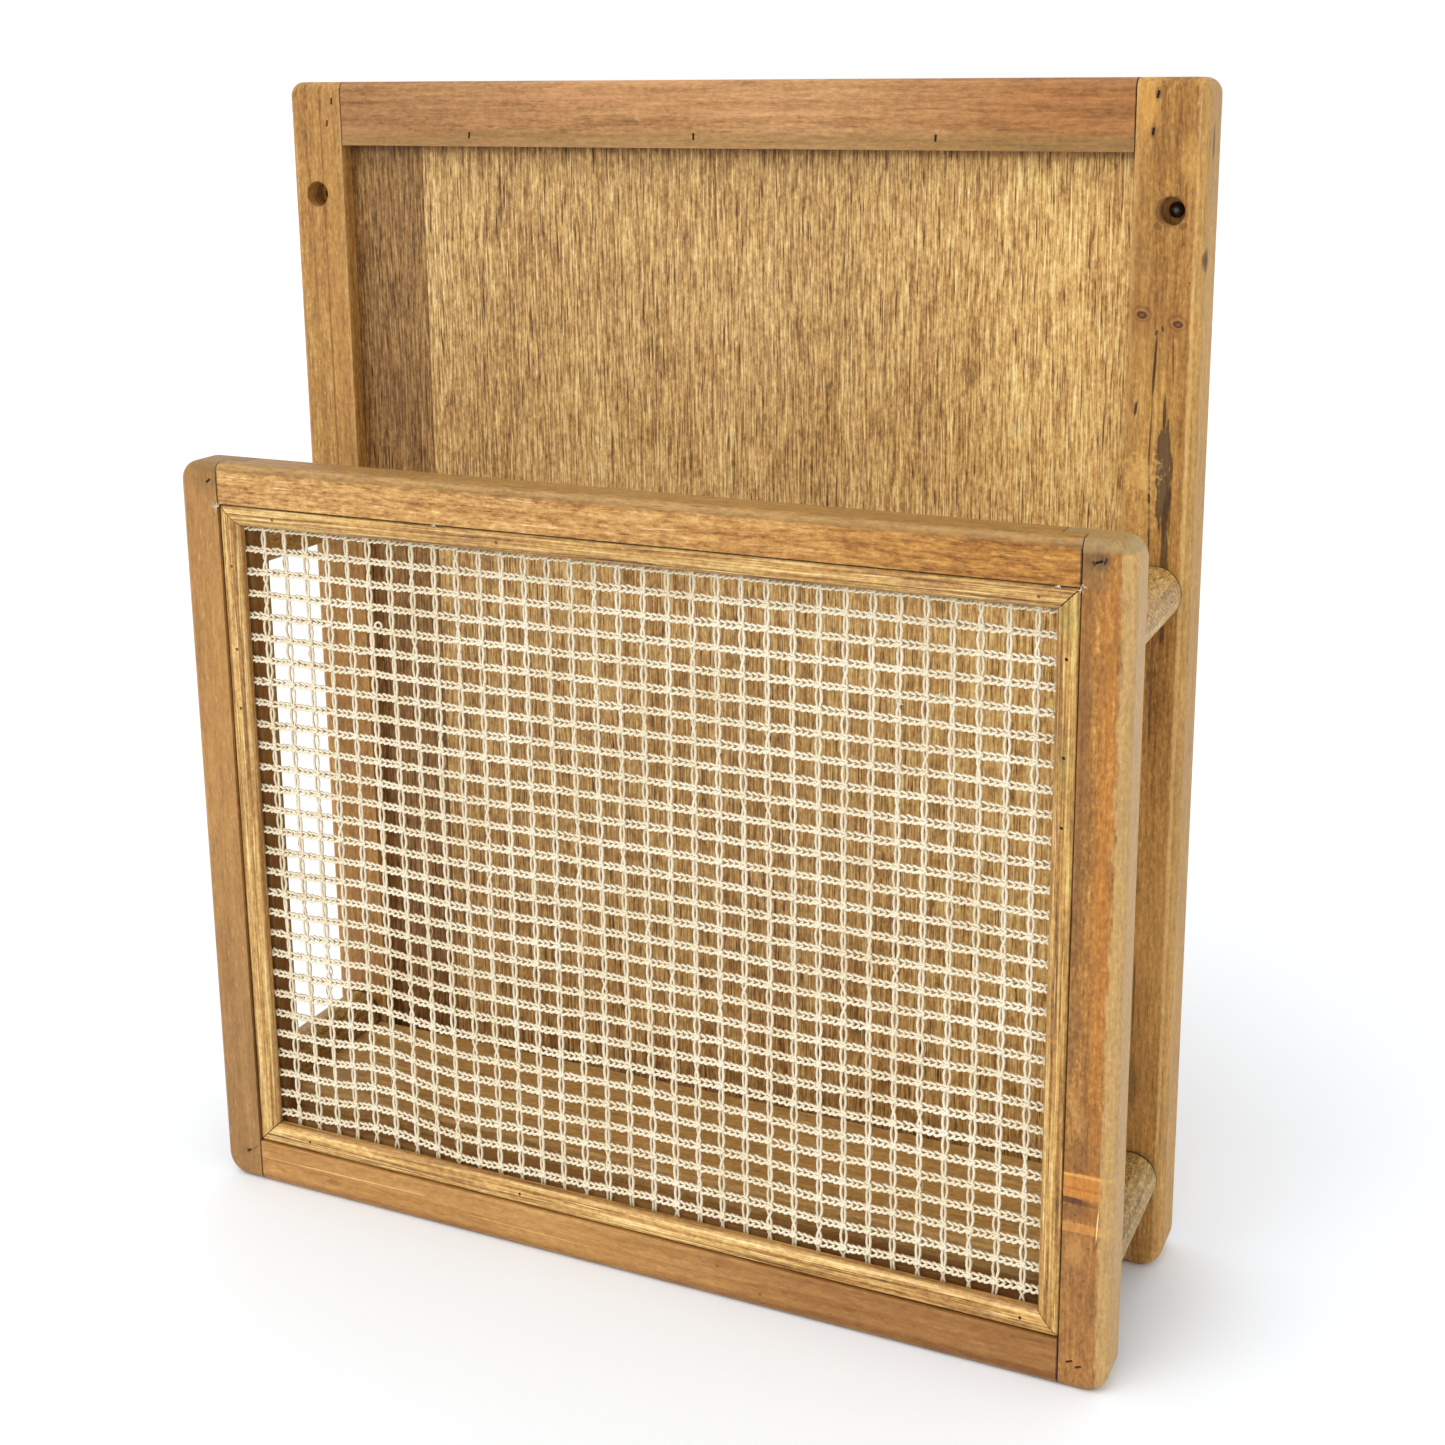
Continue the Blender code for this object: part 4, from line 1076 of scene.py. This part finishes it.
def strand_columns(tubes, chance):
    """The upright strands: two in each column, pinched by every row, and now and then a stray third."""
    low, high = TOP_ROW - ROW_PITCH * (ROWS - 1) - 8.5, TOP_ROW + 5.5
    for number in range(COLUMNS):
        x = FIRST_COLUMN + COLUMN_PITCH * number
        order = 1
        paths = ([], [])
        for row in range(-1, ROWS):
            z = TOP_ROW - ROW_PITCH * row
            swap = chance.random() < SWAP_SHARE
            bow = chance.uniform(*BOW)
            shift = chance.uniform(-0.2, 0.2)
            after = -order if swap else order
            for side, path in zip((-1, 1), paths):
                front = 0.0 if side > 0 else 0.14
                path.append((x + side * order * PINCH, min(z, high), 0.2))
                path.append((x + side * order * bow * 0.7 + shift, z - ROW_PITCH * 0.25, front))
                path.append((x + side * (order + after) / 2 * bow + shift, z - ROW_PITCH * 0.5, front))
                path.append((x + side * after * bow * 0.7 + shift, z - ROW_PITCH * 0.75, front))
            order = after
            if chance.random() < STRAY_SHARE and 0 <= row < ROWS - 1:
                out = chance.choice((-1, 1)) * chance.uniform(0.9, 1.5)
                shares = [(0.1, 0.05), (out * 0.8, 0.3), (out, 0.55), (0.1, 1.0)]
                stray = [net_point(x + off, z - ROW_PITCH * share, 0.2) for off, share in shares]
                tubes.add([stray], STRAY_RADIUS, samples=9)
        spread = chance.uniform(-0.6, 0.6)
        for side, path in zip((-1, 1), paths):
            path[-2:] = [(x + side * 0.5, path[-2][1], 0.2), (x + side * 0.7 + spread, low, 0.2)]
            path = np.array(path)
            shaped = net_point(path[:, 0], path[:, 1], path[:, 2])
            tubes.add([shaped], STRAND_RADIUS, samples=len(path) * 3 // 2)


def edge_strand(tubes, chance):
    """The strand that weaves up the right edge, against the bead."""
    path = []
    for row in range(ROWS):
        z = TOP_ROW - ROW_PITCH * row
        path.append((EDGE_PLACES[0] + chance.uniform(-0.2, 0.3), z, 0.3))
        path.append((EDGE_PLACES[1], z - ROW_PITCH * 0.5, 0.1))
    path = np.array(path)
    tubes.add([net_point(path[:, 0], path[:, 1], path[:, 2])], STRAND_RADIUS * 0.9, samples=len(path) * 2)


def loose_ends(tubes, chance):
    """One curl that has worked out of a row, frayed ends in two meshes, and tufts at the beads' corners."""
    turn = np.linspace(-0.6, 5.4, 12)
    x, y, z = CURL
    curl = [x + CURL_SIZE[0] * np.cos(turn), y - 0.25 * np.sin(turn / 2), z + CURL_SIZE[1] * np.sin(turn)]
    tubes.add([np.stack(curl, axis=-1)], CHAIN_RADIUS * 0.85, samples=20)
    for x, y, z, size, number in TUFTS:
        hairs = []
        for _ in range(number):
            heading = chance.uniform(0, 2 * math.pi)
            reach = size * chance.uniform(0.5, 1.0)
            bend = chance.choice((-1, 1)) * chance.uniform(0.6, 1.2) * reach
            root_x = x + chance.uniform(-0.5, 0.5) * size
            root_z = z + chance.uniform(-0.2, 0.2) * size
            hair = []
            for share in (0, 0.35, 0.7, 1.0):
                hair.append(
                    (
                        root_x + reach * share * math.cos(heading) - bend * share**2 * math.sin(heading),
                        y - 0.35 * reach * share,
                        root_z + reach * share * math.sin(heading) + bend * share**2 * math.cos(heading),
                    )
                )
            hairs.append(hair)
        tubes.add(hairs, HAIR_RADIUS, samples=6, sides=4, taper=0.5)


def net():
    """The whole net as one piece of twine work, in place of the plain CAD slab."""
    chance = random.Random(7)
    tubes = Tubes()
    chain_rows(tubes, chance)
    strand_columns(tubes, chance)
    edge_strand(tubes, chance)
    loose_ends(tubes, chance)
    made = tubes.piece("net", twine("cotton_twine"))
    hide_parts("net_panel")


# ---------------------------------------------------------------- stage


def stage():
    """A pale floor that runs to the horizon, a white room and one wide lamp."""
    half = FLOOR_SIZE / 2
    mesh = bpy.data.meshes.new("floor")
    corners = [(-half, -half, 0), (half, -half, 0), (half, half, 0), (-half, half, 0)]
    mesh.from_pydata(corners, [], [(0, 1, 2, 3)])
    floor = bpy.data.objects.new("floor", mesh)
    bpy.context.scene.collection.objects.link(floor)
    g = Graph("floor_paint")
    cloudy = g.noise((3, 3, 3), 2.0)
    shade = g.mix(g.step(cloudy, -0.3, 0.3), FLOOR_COLOUR, [c - 3 for c in FLOOR_COLOUR])
    g.set(Base_Color=shade, Roughness=0.8)
    mesh.materials.append(g.material)

    world = bpy.data.worlds.new("white_room")
    bpy.context.scene.world = world
    world.use_nodes = True
    background = world.node_tree.nodes["Background"]
    background.inputs["Color"].default_value = linear((255, 255, 255))
    background.inputs["Strength"].default_value = ROOM_LIGHT

    lamp = bpy.data.lights.new("key", "SUN")
    lamp.energy = KEY_LIGHT
    lamp.angle = KEY_ANGLE
    key = bpy.data.objects.new("key", lamp)
    key.rotation_mode = "QUATERNION"
    key.rotation_quaternion = Vector(KEY_FROM).to_track_quat("Z", "Y")
    bpy.context.scene.collection.objects.link(key)
    bpy.context.scene.view_settings.view_transform = "Standard"


def camera():
    """The camera, at the photograph's viewing angle and framing."""
    data = bpy.data.cameras.new("camera")
    data.lens = CAMERA_LENS
    data.sensor_width = SENSOR_WIDTH
    data.shift_x, data.shift_y = CAMERA_SHIFT
    made = bpy.data.objects.new("camera", data)
    bpy.context.scene.collection.objects.link(made)
    level = math.cos(CAMERA_ELEVATION)
    ahead = Vector(
        (-math.sin(CAMERA_AZIMUTH) * level, math.cos(CAMERA_AZIMUTH) * level, math.sin(CAMERA_ELEVATION))
    )
    right = Vector((math.cos(CAMERA_AZIMUTH), math.sin(CAMERA_AZIMUTH), 0))
    up = right.cross(ahead)
    turned_right = right * math.cos(CAMERA_ROLL) + up * math.sin(CAMERA_ROLL)
    turned_up = up * math.cos(CAMERA_ROLL) - right * math.sin(CAMERA_ROLL)
    made.matrix_world = Matrix.Translation(CAMERA_PLACE) @ Matrix(
        (turned_right, turned_up, -ahead)
    ).transposed().to_4x4()
    bpy.context.scene.camera = made


SANDED = sanded_shading()
camera()
cad_surfaces()
net()
stage()
